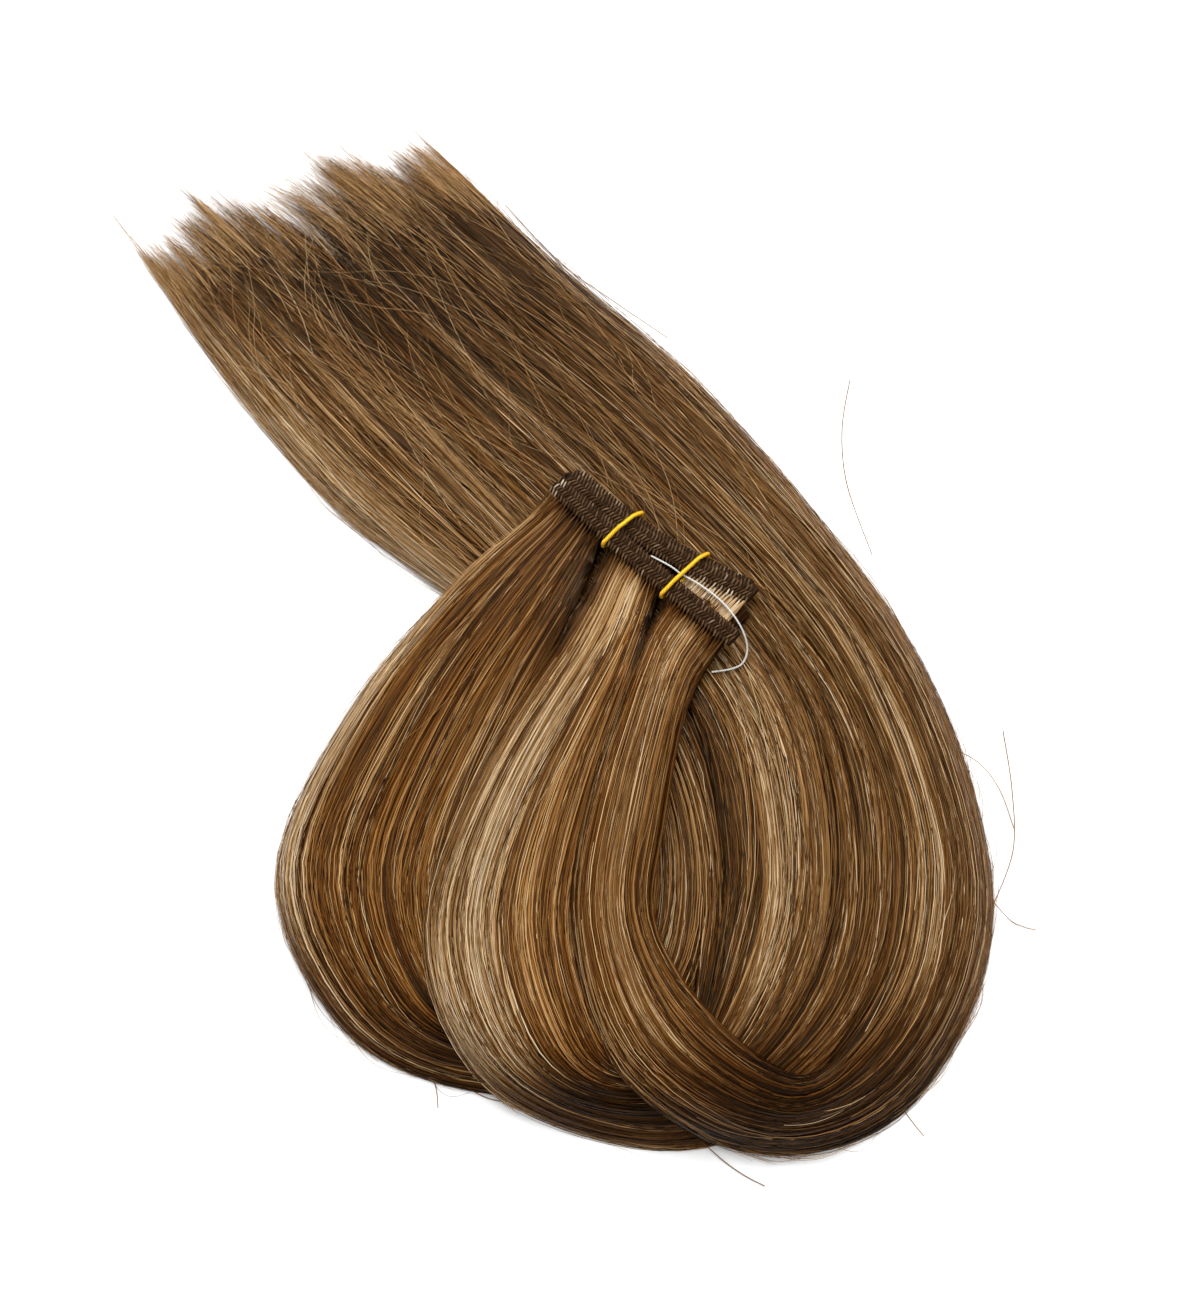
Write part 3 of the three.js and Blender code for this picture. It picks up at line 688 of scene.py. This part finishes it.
def strands(name, count, deep_mm, width_mm, seed):
    """Lines, outward directions, widths and colours of the strands of one lock, as deep in it as asked."""
    wisp = np.random.default_rng(len(name))
    middles = (np.arange(WISPS_IN_LOCK) + wisp.uniform(0.1, 0.9, WISPS_IN_LOCK)) / WISPS_IN_LOCK
    wisp_lift = wisp.uniform(*WISP_LIFT_MM, WISPS_IN_LOCK)
    wisp_tone = wisp.normal(0.0, WISP_TONE, WISPS_IN_LOCK)
    wisp_sway = wisp.uniform(*WISP_SWAY, WISPS_IN_LOCK)
    wisp_turn = wisp.uniform(0, 2 * np.pi, WISPS_IN_LOCK)
    rng = np.random.default_rng(seed)
    which = rng.integers(WISPS_IN_LOCK, size=count)
    loose = rng.random(count) < LOOSE_SHARE
    offset = rng.normal(0.0, WISP_SPREAD, count)
    label = np.abs(middles[which] + offset / WISPS_IN_LOCK)
    label = 1.0 - np.abs(1.0 - label)
    end, tuft, bent = tips(name, label, rng)
    s = rows_of_strands(end, rng)
    sway = wisp_sway[which, None] * np.sin(WISP_TURNS * s + wisp_turn[which, None]) + sways(loose, s, rng)
    place = gathered(label[:, None] + sway, s, tuft, bent, rng)
    deep = deep_mm * rng.random(count) ** DEPTH_POWER - wisp_lift[which] + SIDES_SINK_MM * offset**2
    line, out = lines_of_strands(name, s, place, loose, deep, rng)
    thick = width_mm * np.exp(rng.normal(0.0, THICK_SPREAD, count)) * np.where(loose, LOOSE_THIN, 1.0)
    width = thick[:, None] * np.clip((end[:, None] - s) / TAPER_ROWS, TAPER_TO, 1.0)
    tones = MEAN_TONE + wisp_tone[which] + rng.normal(0.0, TONE_SPREAD, count)
    tones = tones + LOOSE_LIGHTER * loose - DEPTH_PAINTED_SHADE * np.maximum(deep, 0)
    tones, coppers = colours_of_strands(name, label, s, end, tones, rng)
    return line, out, width, tones, coppers


# %% Ribbons
TILT = 0.4  # radians
TABLE_MM = 0.03  # no ribbon goes lower than this over the table


def ribbons(line, out, width, seed):
    """Flat ribbons along lines, each one turned about its line by its own angle."""
    tilt = np.random.default_rng(seed).normal(0.0, TILT, (len(line), 1, 1))
    run = unit(np.gradient(line, axis=1))
    flat = unit(np.cross(out, run))
    side = flat * np.cos(tilt) + np.cross(run, flat) * np.sin(tilt)
    half = 0.5 * width[..., None]
    rings = np.stack([line - side * half, line + side * half], axis=2)
    rings[..., 2] = np.maximum(rings[..., 2], TABLE_MM)
    return rings


# %% Combed locks
# name, lock, strands, depth in mm, width in mm
COMBED = [
    ("hair_left", "left", 2000, 2.2, 0.21),
    ("hair_middle_under", "middle", 1600, 2.6, 0.24),
    ("hair_middle_top", "middle", 1600, 1.2, 0.19),
    ("hair_right_under", "right", 1400, 2.6, 0.24),
    ("hair_right_top", "right", 1400, 1.2, 0.19),
]
for seed, (label, lock, count, deep, wide) in enumerate(COMBED):
    line, out, width, tones, coppers = strands(lock, count, deep, wide, seed + 11)
    made = piece(label, ribbons(line, out, width, seed), False, keratin, "hair",
                 tone=tones[..., None], copper=coppers[..., None])
    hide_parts("hair")

# %% [markdown]
# ## Flyaways
# Short and broken hairs lie across the combed ones, most of all in the tail. They are the same ribbons, only
# short, and they cross a lock at an angle a little above its skin. More of them stick out along the edges of
# the bundle, where the plain outline would look cut.

# %% Flyaways
# lock, hairs, first row, last row, how far they cross the lock in a row
FLYAWAYS = [
    ("left", 220, 9.8, 12.5, 0.30), ("middle", 300, 10.2, 12.5, 0.24), ("right", 160, 9.5, 12.5, 0.20),
    ("left", 50, 1.6, 6.0, 0.06), ("middle", 50, 1.6, 6.0, 0.06), ("right", 120, 1.2, 9.5, 0.06),
]
rng = np.random.default_rng(17)
reach = np.linspace(0, 1, 12)[None, :]
FLYAWAY_LIFT_MM, FLYAWAY_ARCH_MM = 0.3, (0.1, 0.7)
lines, outs = [], []
for name, count, first, last, crossing in FLYAWAYS:
    far = rng.uniform(0.3, 0.9, (count, 1)) * reach
    s = rng.uniform(first, last, (count, 1)) + far
    q = rng.uniform(0.04, 0.96, (count, 1)) + rng.normal(0, crossing, (count, 1)) * far
    q = np.clip(q + rng.normal(0, crossing, (count, 1)) * far**2, 0.02, 0.98)
    out = lock_out(name, s, q)
    lift = FLYAWAY_LIFT_MM + rng.uniform(*FLYAWAY_ARCH_MM, (count, 1)) * np.sin(np.pi * reach)
    lines.append(lock_skin(name, s, q) + out * lift[..., None])
    outs.append(out)

# %% Hairs along the edges
# lock, edge, hairs, first row, last row
STICK_OUT = [
    ("left", 1.0, 90, 9.2, 12.7), ("right", 0.0, 120, 7.4, 12.7),
    ("left", 0.0, 80, 1.0, 6.6), ("middle", 0.0, 40, 5.0, 6.8), ("right", 0.0, 50, 5.4, 7.4),
]
ARCHED_SHARE = 0.4  # the others stand off at their end
EDGE_LIFT_MM, EDGE_BOW_MM = 0.1, (1.4, 0.7)  # least lift, and shape and scale of the rest
for name, edge, count, first, last in STICK_OUT:
    far = rng.uniform(0.25, 0.7, (count, 1)) * reach
    s = rng.uniform(first, last, (count, 1)) + far
    q = np.abs(edge - rng.uniform(0.01, 0.12, (count, 1)))
    q = np.broadcast_to(q, s.shape)
    out = lock_out(name, s, q)
    bow = np.where(rng.random((count, 1)) < ARCHED_SHARE, np.sin(np.pi * reach), reach**2)
    lift = EDGE_LIFT_MM + rng.gamma(*EDGE_BOW_MM, (count, 1)) * bow
    lines.append(lock_skin(name, s, q) + out * lift[..., None])
    outs.append(np.broadcast_to(UP, out.shape))

# %% Hairs past the tips
TIP_HAIRS = 200  # in each lock
TIP_HAIR_ROWS = (12.4, 12.7)  # where they start
TIP_HAIR_PAST = 0.1  # rows past the last one
TIP_HAIR_LIFT_MM = 0.2
column = (TIP_HAIRS, 1)
for name in LOCKS:
    start = rng.uniform(0.02, 0.9, column)
    short = SHORT_SHARE * np.interp(start, QUARTERS, TIPS_SHORT[name])
    first = rng.uniform(*TIP_HAIR_ROWS, column)
    s = first + (LAST_ROW + TIP_HAIR_PAST - short + rng.normal(0, 0.08, column) - first) * reach
    q = start + rng.uniform(0.0, 0.1, column) * reach**2 + rng.normal(0, 0.03, column) * reach
    q = np.clip(q, 0.01, 0.99)
    lines.append(lock_skin(name, s, q) + TIP_HAIR_LIFT_MM * lock_out(name, s, q))
    outs.append(np.broadcast_to(UP, lines[-1].shape))

# %% Flyaways as one piece
FLYAWAY_MM = 0.12
FLYAWAY_TONE = (0.68, 0.09)  # mean and spread
lines, outs = np.concatenate(lines), np.concatenate(outs)
lines[..., 2] = np.maximum(lines[..., 2], HAIR_FLOOR_MM)
width = FLYAWAY_MM * (1.0 - 0.6 * np.broadcast_to(reach, lines.shape[:2]) ** 2)
tones = rng.normal(*FLYAWAY_TONE, len(lines))[:, None, None]
piece("hair_flyaways", ribbons(lines, outs, width, 23), False, keratin, "hair", tone=tones, copper=0.0)

# %% [markdown]
# ## Band
# The hair is sewn into a narrow band by machine, in dark brown polyester. The band is one long strip that
# goes to and fro in six folds, and the lower folds fan out to the right. It is swept here along the folds,
# with a shallow rib for each row of stitches that crosses it.

# %% Where the folds lie
# left end, right end, front at the left, front at the right, lowest fold first
FOLDS = [
    (1.6, 50.0, -6.2, -12.4), (1.2, 50.6, -5.4, -11.6), (0.9, 52.5, -4.2, -10.8),
    (0.6, 53.2, -3.4, -10.0), (0.2, 57.0, -0.3, 1.2), (0.0, 57.5, 0.8, 2.0),
]
BAND_WIDE, BAND_THICK = 4.2, 0.8
FOLD_LOWEST, FOLD_PITCH = 10.2, 1.05
WEFT_LONG, WEFT_BOW = 58.0, 1.0
WEFT_CORNER = np.array([-11.7, 36.5, 0.0])
WEFT_ANGLE = math.radians(-42.2)
ALONG = np.array([math.cos(WEFT_ANGLE), math.sin(WEFT_ANGLE), 0.0])
FRONT = np.array([math.sin(WEFT_ANGLE), -math.cos(WEFT_ANGLE), 0.0])
STITCH_MM = 0.9


def fold_front(fold, a):
    left_end, right_end, left_front, right_front = FOLDS[fold]
    t = (a - left_end) / (right_end - left_end)
    return left_front + (right_front - left_front) * t**2 + WEFT_BOW * np.sin(np.pi * a / WEFT_LONG)


def fold_height(fold):
    return FOLD_LOWEST + FOLD_PITCH * fold


def on_weft(a, f, z):
    """Points from the distance along the band, the distance to its front, and the height."""
    a, f, z = np.broadcast_arrays(a, f, z)
    return WEFT_CORNER + a[..., None] * ALONG + f[..., None] * FRONT + z[..., None] * UP


# %% Band finish
# Bonded polyester thread, machine sewn over hair roots: dull dark brown, with painted shade between the ribs
# and lighter rib tops
sewn_polyester, output = new_material("sewn_polyester_dark_brown")
sewn = add_node(sewn_polyester, "ShaderNodeAttribute", attribute_name="tone")
browns = add_node(sewn_polyester, "ShaderNodeValToRGB", {"Fac": sewn.outputs["Fac"]},
                  stops=[(0.0, "#0c0603"), (1.0, "#cdbca4"), (0.3, "#331f10"), (0.55, "#664c34")])
YARN_MM = 0.12  # plies of the sewing thread, drawn twice as coarse to show
yarn = add_node(sewn_polyester, "ShaderNodeTexNoise", {"Scale": 1000 / YARN_MM / 2, "Detail": 2.0})
relief = add_node(sewn_polyester, "ShaderNodeBump",
                  {"Height": yarn.outputs["Fac"], "Strength": 0.35, "Distance": 0.00006})
surface = add_node(sewn_polyester, "ShaderNodeBsdfPrincipled",
                   {"Base Color": browns.outputs["Color"], "Roughness": 0.55, "IOR": 1.55,
                    "Specular IOR Level": 0.15, "Specular Tint": linear("#dcb080"),
                    "Normal": relief.outputs["Normal"]})
sewn_polyester.node_tree.links.new(surface.outputs["BSDF"], output.inputs["Surface"])

# %% Way along the folds
FOLD_POINTS, TURN_POINTS = 240, 9
walk = []
for k, (left_end, right_end, _, _) in enumerate(FOLDS):
    rightwards = k % 2 == 0
    a = np.linspace(left_end, right_end, FOLD_POINTS)[:: 1 if rightwards else -1]
    walk.append(np.stack([a, fold_front(k, a), np.full(FOLD_POINTS, fold_height(k)),
                          np.full(FOLD_POINTS, 0.0 if rightwards else np.pi)], axis=-1))
    if k + 1 == len(FOLDS):
        break
    share = np.linspace(0, 1, TURN_POINTS)[1:-1]
    start, stop = (right_end, FOLDS[k + 1][1]) if rightwards else (left_end, FOLDS[k + 1][0])
    bulge = 0.5 * FOLD_PITCH * np.sin(np.pi * share) * (1 if rightwards else -1)
    here, there = fold_front(k, start), fold_front(k + 1, stop)
    height = fold_height(k) + 0.5 * FOLD_PITCH * (1 - np.cos(np.pi * share))
    turns = np.pi * (share if rightwards else 1 - share)
    walk.append(np.stack([start + (stop - start) * share + bulge, here + (there - here) * share,
                          height, turns], axis=-1))
a, front, height, turns = np.concatenate(walk).T[..., None]
print(len(a), "points along the folds")

# %% Band
BAND_SIDES = 12
BAND_SQUARE, BAND_FLAT = 0.4, 0.7  # under 1, the band's section is squarer than an ellipse
RIB_MEAN, RIB_WAVE = 0.85, 0.15
angle = 2 * np.pi * np.arange(BAND_SIDES) / BAND_SIDES
across = 0.5 * BAND_WIDE * (np.sign(np.cos(angle)) * np.abs(np.cos(angle)) ** BAND_SQUARE - 1)
raised = 0.5 * BAND_THICK * np.sign(np.sin(angle)) * np.abs(np.sin(angle)) ** BAND_FLAT
rib = RIB_MEAN + RIB_WAVE * np.cos(2 * np.pi * a / STITCH_MM)
normal = UP * np.cos(turns[..., None]) - ALONG * np.sin(turns[..., None])
rings = on_weft(a, front + across, height) + normal * (raised * rib)[..., None]
# painted shade: darker in the grooves between the ribs, lighter on their tops
rib_painted_shade = 0.2 * (rib - (RIB_MEAN - RIB_WAVE))
band = piece("weft_band", rings[None], True, sewn_polyester, "weft", tone=rib_painted_shade[None])
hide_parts("weft_strip")

# %% [markdown]
# ## Stitches
# The machine's zig-zag lies on the band in rows of slanting stitches, one row leaning left, the next right,
# like knitting. Each stitch is a short bent tube that is thin at both ends, and all of them are one mesh.
# A bump would be flat in the light from the side, and the stitches at the edges shape the outline.

# %% Stitches
# rows on a fold: distance from its front edge, slant in degrees
STITCH_ROWS = [(0.3, 16), (1.9, -18), (3.5, 16)]
STITCH_LONG, STITCH_THICK, STITCH_HIGH = 1.9, 0.4, 0.22
STITCH_SUNK = 0.04
STITCH_TONE = (0.38, 0.09)  # mean and spread
# folds, rows, start and end along the band, and how much paler some of the stitches are there
PALE_STITCHES = [
    ((0, 1), (0, 1, 2), -1, 15, 0.28), ((3,), (0,), 40, 60, 0.4), ((5,), (0, 1, 2), -1, 2.2, 0.5),
]
rng = np.random.default_rng(5)
centres, leans, tones = [], [], []
for k, (left_end, right_end, _, _) in enumerate(FOLDS):
    for row, (back, slant) in enumerate(STITCH_ROWS):
        a = np.arange(left_end + 0.3 + 0.5 * STITCH_MM * (row % 2), right_end, STITCH_MM)
        a = a + rng.normal(0, 0.05, a.size)
        centres.append(on_weft(a, fold_front(k, a) - back, fold_height(k) + 0.5 * BAND_THICK - STITCH_SUNK))
        leans.append(np.radians(slant + rng.normal(0, 5, a.size)))
        pale = np.zeros(a.size)
        for folds, rows, start, stop, paler in PALE_STITCHES:
            if k in folds and row in rows:
                pale += paler * ((a > start) & (a < stop))
        tones.append(STITCH_TONE[0] + pale * rng.random(a.size) + rng.normal(0, STITCH_TONE[1], a.size))

# %% Stitches as one piece
centres, leans, tones = (np.concatenate(part) for part in (centres, leans, tones))
reach = np.linspace(-1, 1, 5)
lean = FRONT * np.cos(leans)[:, None] + ALONG * np.sin(leans)[:, None]
lines = centres[:, None] + lean[:, None] * (0.5 * STITCH_LONG * reach)[None, :, None]
lines = lines + UP * (STITCH_HIGH * (1 - reach**2))[None, :, None]
radii = 0.5 * STITCH_THICK * np.sqrt(1.08 - reach**2)
rings = tube(lines, radii[None], UP, 6)
piece("weft_stitches", rings, True, sewn_polyester, "weft", tone=tones[:, None, None])
print(len(centres), "stitches")

# %% [markdown]
# ## Roots
# The hair leaves the front of the band in small tufts, one from each stitch, like the teeth of a comb. The
# tufts start at a point, bend down over the edge and merge with the locks. Paler roots show in the opening
# between the two branches of the band on the right.

# %% Roots
# lock, where it starts and ends along the band
ROOT_SPANS = {"left": (0.3, 18.0), "middle": (20.4, 36.9), "right": (39.1, 56.4)}
HAIRS_IN_TUFT = 9
TOP_FOLD = len(FOLDS) - 1
ROOT_POINTS = 12
ROOT_LIFTS = ((1.35, 0.35), (1.75, 0.2), (2.3, 0.05), (3.0, -0.6))  # rows, and lift over the lock there
ROOT_TONE = (0.4, 0.15)  # mean and spread
root_lines, root_tones, root_coppers = [], [], []
rng = np.random.default_rng(8)
for name, (first, last) in ROOT_SPANS.items():
    a = np.repeat(np.arange(first, last, STITCH_MM), HAIRS_IN_TUFT)
    spread = a + rng.normal(0, 0.45, a.size)
    place = np.clip((spread - first) / (last - first), 0.02, 0.98)
    swing = np.sign(1 - 2 * place) * np.abs(1 - 2 * place) ** 1.25
    q = np.arccos(swing) / np.pi
    front, height = fold_front(TOP_FOLD, a), fold_height(TOP_FOLD)
    low = rng.uniform(0, 1.2, a.size)
    points = [on_weft(a + rng.normal(0, 0.08, a.size), front - 0.9, height + 0.1 - low),
              on_weft(0.85 * a + 0.15 * spread, front + 0.4, height + 0.15 - low)]
    for row, lift in ROOT_LIFTS:
        s = np.full(a.size, row)
        points.append(lock_skin(name, s, q) + lock_out(name, s, q) * (lift - 0.3 * low)[:, None])
    table = np.stack(points, axis=0)
    along = np.linspace(0, len(table) - 1, ROOT_POINTS)
    root_lines.append(np.stack([smooth(table[:, i], along) for i in range(a.size)]))
    label = q ** (1 / ROOT_FAN[name])
    tone, copper = dye_and_painted_light(name, label, np.full(a.size, 1.4)[:, None], rng.random(a.size))
    root_tones.append(ROOT_TONE[0] + tone[:, 0] + rng.normal(0, ROOT_TONE[1], a.size))
    root_coppers.append(copper[:, 0])

# %% Roots as one piece
ROOT_MM = 0.22
root_lines = np.concatenate(root_lines)
root_tones = np.clip(np.concatenate(root_tones), 0.05, 0.9)[:, None, None]
root_coppers = np.concatenate(root_coppers)[:, None, None]
taper = np.interp(np.arange(ROOT_POINTS), (0, 2, 8, 11), (0.6, 1.0, 1.0, 0.3))
width = ROOT_MM * taper[None].repeat(len(root_lines), 0)
out = np.broadcast_to(UP, root_lines.shape)
# painted shade: the roots are darker where they come out from under the band
painted_shade_by_band = np.interp(np.arange(ROOT_POINTS), (0, 2.5, 4), (0.55, 0.75, 1.0))[None, :, None]
piece("hair_roots", ribbons(root_lines, out, width, 21), False, keratin, "hair",
      tone=root_tones * painted_shade_by_band, copper=root_coppers)

# %% Roots in the opening of the band
OPENING = (39.4, 53.0)  # start and end along the band
LOWER_FOLD, UPPER_FOLD = 3, 4
PALE_IN_TUFT = 14
PALE_MM, PALE_TONE = 0.2, (0.82, 0.13)
a = np.repeat(np.arange(*OPENING, STITCH_MM), PALE_IN_TUFT)
spread = a + rng.normal(0, 0.22, a.size)
here, there = fold_front(LOWER_FOLD, a), fold_front(UPPER_FOLD, spread) - BAND_WIDE
table = np.stack([
    on_weft(a, here - 0.8, 13.5), on_weft(0.6 * a + 0.4 * spread, here + 0.5, 13.5),
    on_weft(spread, 0.5 * (here + there), 13.35 + rng.normal(0, 0.15, a.size)),
    on_weft(spread, there + 0.3, 13.2), on_weft(spread, there + 2.0, 12.9),
])
line = np.stack([smooth(table[:, i], np.linspace(0, 4, 9)) for i in range(a.size)])
width = PALE_MM * np.ones(line.shape[:2])
tones = np.clip(PALE_TONE[0] + rng.normal(0, PALE_TONE[1], a.size), 0.2, 1)[:, None, None]
piece("hair_roots_pale", ribbons(line, np.broadcast_to(UP, line.shape), width, 22), False, keratin, "hair",
      tone=tones, copper=0.0)

# %% [markdown]
# ## Ties
# Each tie is a gold cord, tied tight round the folds. It is three yarns of metallised film, twisted, so it
# glitters in small slanting steps. The cord follows the outline of the folds at its place, and the three
# yarns wind round that line.

# %% Tie finish
# Metallised polyester film, slit and twisted: bright yellow metal in narrow facets
gold_film, output = new_material("metallised_film_gold_twisted")
SLIT_MM = 0.3  # width of the slit film
slits = add_node(gold_film, "ShaderNodeTexNoise", {"Scale": 1000 / SLIT_MM, "Detail": 1.0})
tint = add_node(gold_film, "ShaderNodeValToRGB", {"Fac": slits.outputs["Fac"]},
                stops=[(0.3, "#c07c06"), (0.7, "#ffd84e"), (0.5, "#f6b812")])
creases = add_node(gold_film, "ShaderNodeBump",
                   {"Height": slits.outputs["Fac"], "Strength": 0.4, "Distance": 0.00008})
surface = add_node(gold_film, "ShaderNodeBsdfPrincipled",
                   {"Base Color": tint.outputs["Color"], "Metallic": 0.75, "Roughness": 0.4,
                    "Normal": creases.outputs["Normal"]})
gold_film.node_tree.links.new(surface.outputs["BSDF"], output.inputs["Surface"])

# %% Ties
TIE_MM, TIE_YARN_MM, TIE_TWIST_MM, TIE_GAP_MM = 1.1, 0.5, 1.5, 0.3
TIE_YARNS, TIE_STEP_MM = 3, 0.1
TIES = {"tie_left": 19.2, "tie_right": 38.0}  # place along the band
for name, at in TIES.items():
    corners = np.array([(fold_front(k, at) + x, fold_height(k) + y) for k in range(len(FOLDS))
                        for x in (0, -BAND_WIDE) for y in (-0.5 * BAND_THICK, 0.5 * BAND_THICK)])
    angle = np.linspace(0, 2 * np.pi, 721)
    away = np.stack([np.cos(angle), np.sin(angle)], axis=-1)
    held = corners[np.argmax(corners @ away.T, axis=0)] + (TIE_GAP_MM + 0.5 * TIE_MM) * away
    line, reach = evenly(on_weft(at, held[:, 0], held[:, 1]), TIE_STEP_MM)
    out = np.cross(unit(np.gradient(line, axis=0)), ALONG)
    turns = round(reach[-1] / TIE_TWIST_MM)
    phase = 2 * np.pi * (turns * reach / reach[-1] + np.arange(TIE_YARNS)[:, None] / TIE_YARNS)[..., None]
    yarns = line + 0.5 * (TIE_MM - TIE_YARN_MM) * (out * np.cos(phase) + ALONG * np.sin(phase))
    tie = piece(name + "_cord", tube(yarns, 0.5 * TIE_YARN_MM, ALONG, 8), True, gold_film, "tie")
    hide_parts(name)

# %% [markdown]
# ## Stray hairs
# A few single hairs always leave the bundle. They lie on the table beside it, so a small table gives four
# points for each one. They are as thin as a mesh hair can be and still show.

# %% Stray hairs
STRAYS = [
    [(62.8, 72.9, 0.4), (60.3, 59.0, 0.4), (61.0, 44.0, 0.4), (66.0, 24.2, 3)],
    [(95.4, -19.5, 0.4), (96.6, -34.3, 0.4), (95.9, -48.8, 0.4), (90.0, -62.5, 3)],
    [(79.4, -24.3, 6), (88.7, -28.0, 2), (93.7, -34.4, 0.6), (96.4, -43.5, 0.4)],
    [(86.7, -58.3, 5), (93.6, -64.9, 0.6), (96.8, -66.8, 0.4), (99.9, -67.7, 0.4)],
    [(-63.7, -80.9, 3), (-57.5, -89.5, 0.6), (-50.6, -95.1, 0.4), (-42.2, -97.4, 0.6)],
    [(-32.4, -101.4, 0.8), (-27.2, -104.9, 0.4), (-22.3, -106.5, 0.4), (-17.8, -106.3, 1)],
    [(-38.1, -97.9, 1), (-37.1, -101.8, 0.4), (-36.4, -104.9, 0.4), (-36.1, -108.0, 0.4)],
    [(22.1, -115.1, 1), (27.6, -119.8, 0.4), (32.0, -122.8, 0.4), (36.3, -125.0, 0.4)],
    [(65.3, -103.2, 2), (67.5, -108.0, 0.4), (69.8, -111.5, 0.4), (71.9, -114.2, 0.4)],
    [(-70.6, -37.8, 4), (-73.5, -49.0, 1), (-73.8, -58.3, 0.4), (-71.6, -70.1, 0.6)],
    [(-82.9, 63.0, 0.6), (-74.5, 52.9, 0.4), (-64.1, 42.1, 0.4), (-50.8, 29.7, 0.6)],
    [(-24.6, 123.4, 0.6), (-10.3, 106.6, 0.4), (3.1, 95.6, 0.4), (17.2, 84.6, 0.6)],
]
STRAY_MM = 0.22
lines = np.stack([smooth(points, np.linspace(0, 3, 25)) for points in STRAYS])
tones = np.random.default_rng(3).uniform(0.55, 0.75, len(STRAYS))[:, None, None]
piece("hair_strays", tube(lines, 0.5 * STRAY_MM, UP, 4), True, keratin, "hair", tone=tones, copper=0.0)
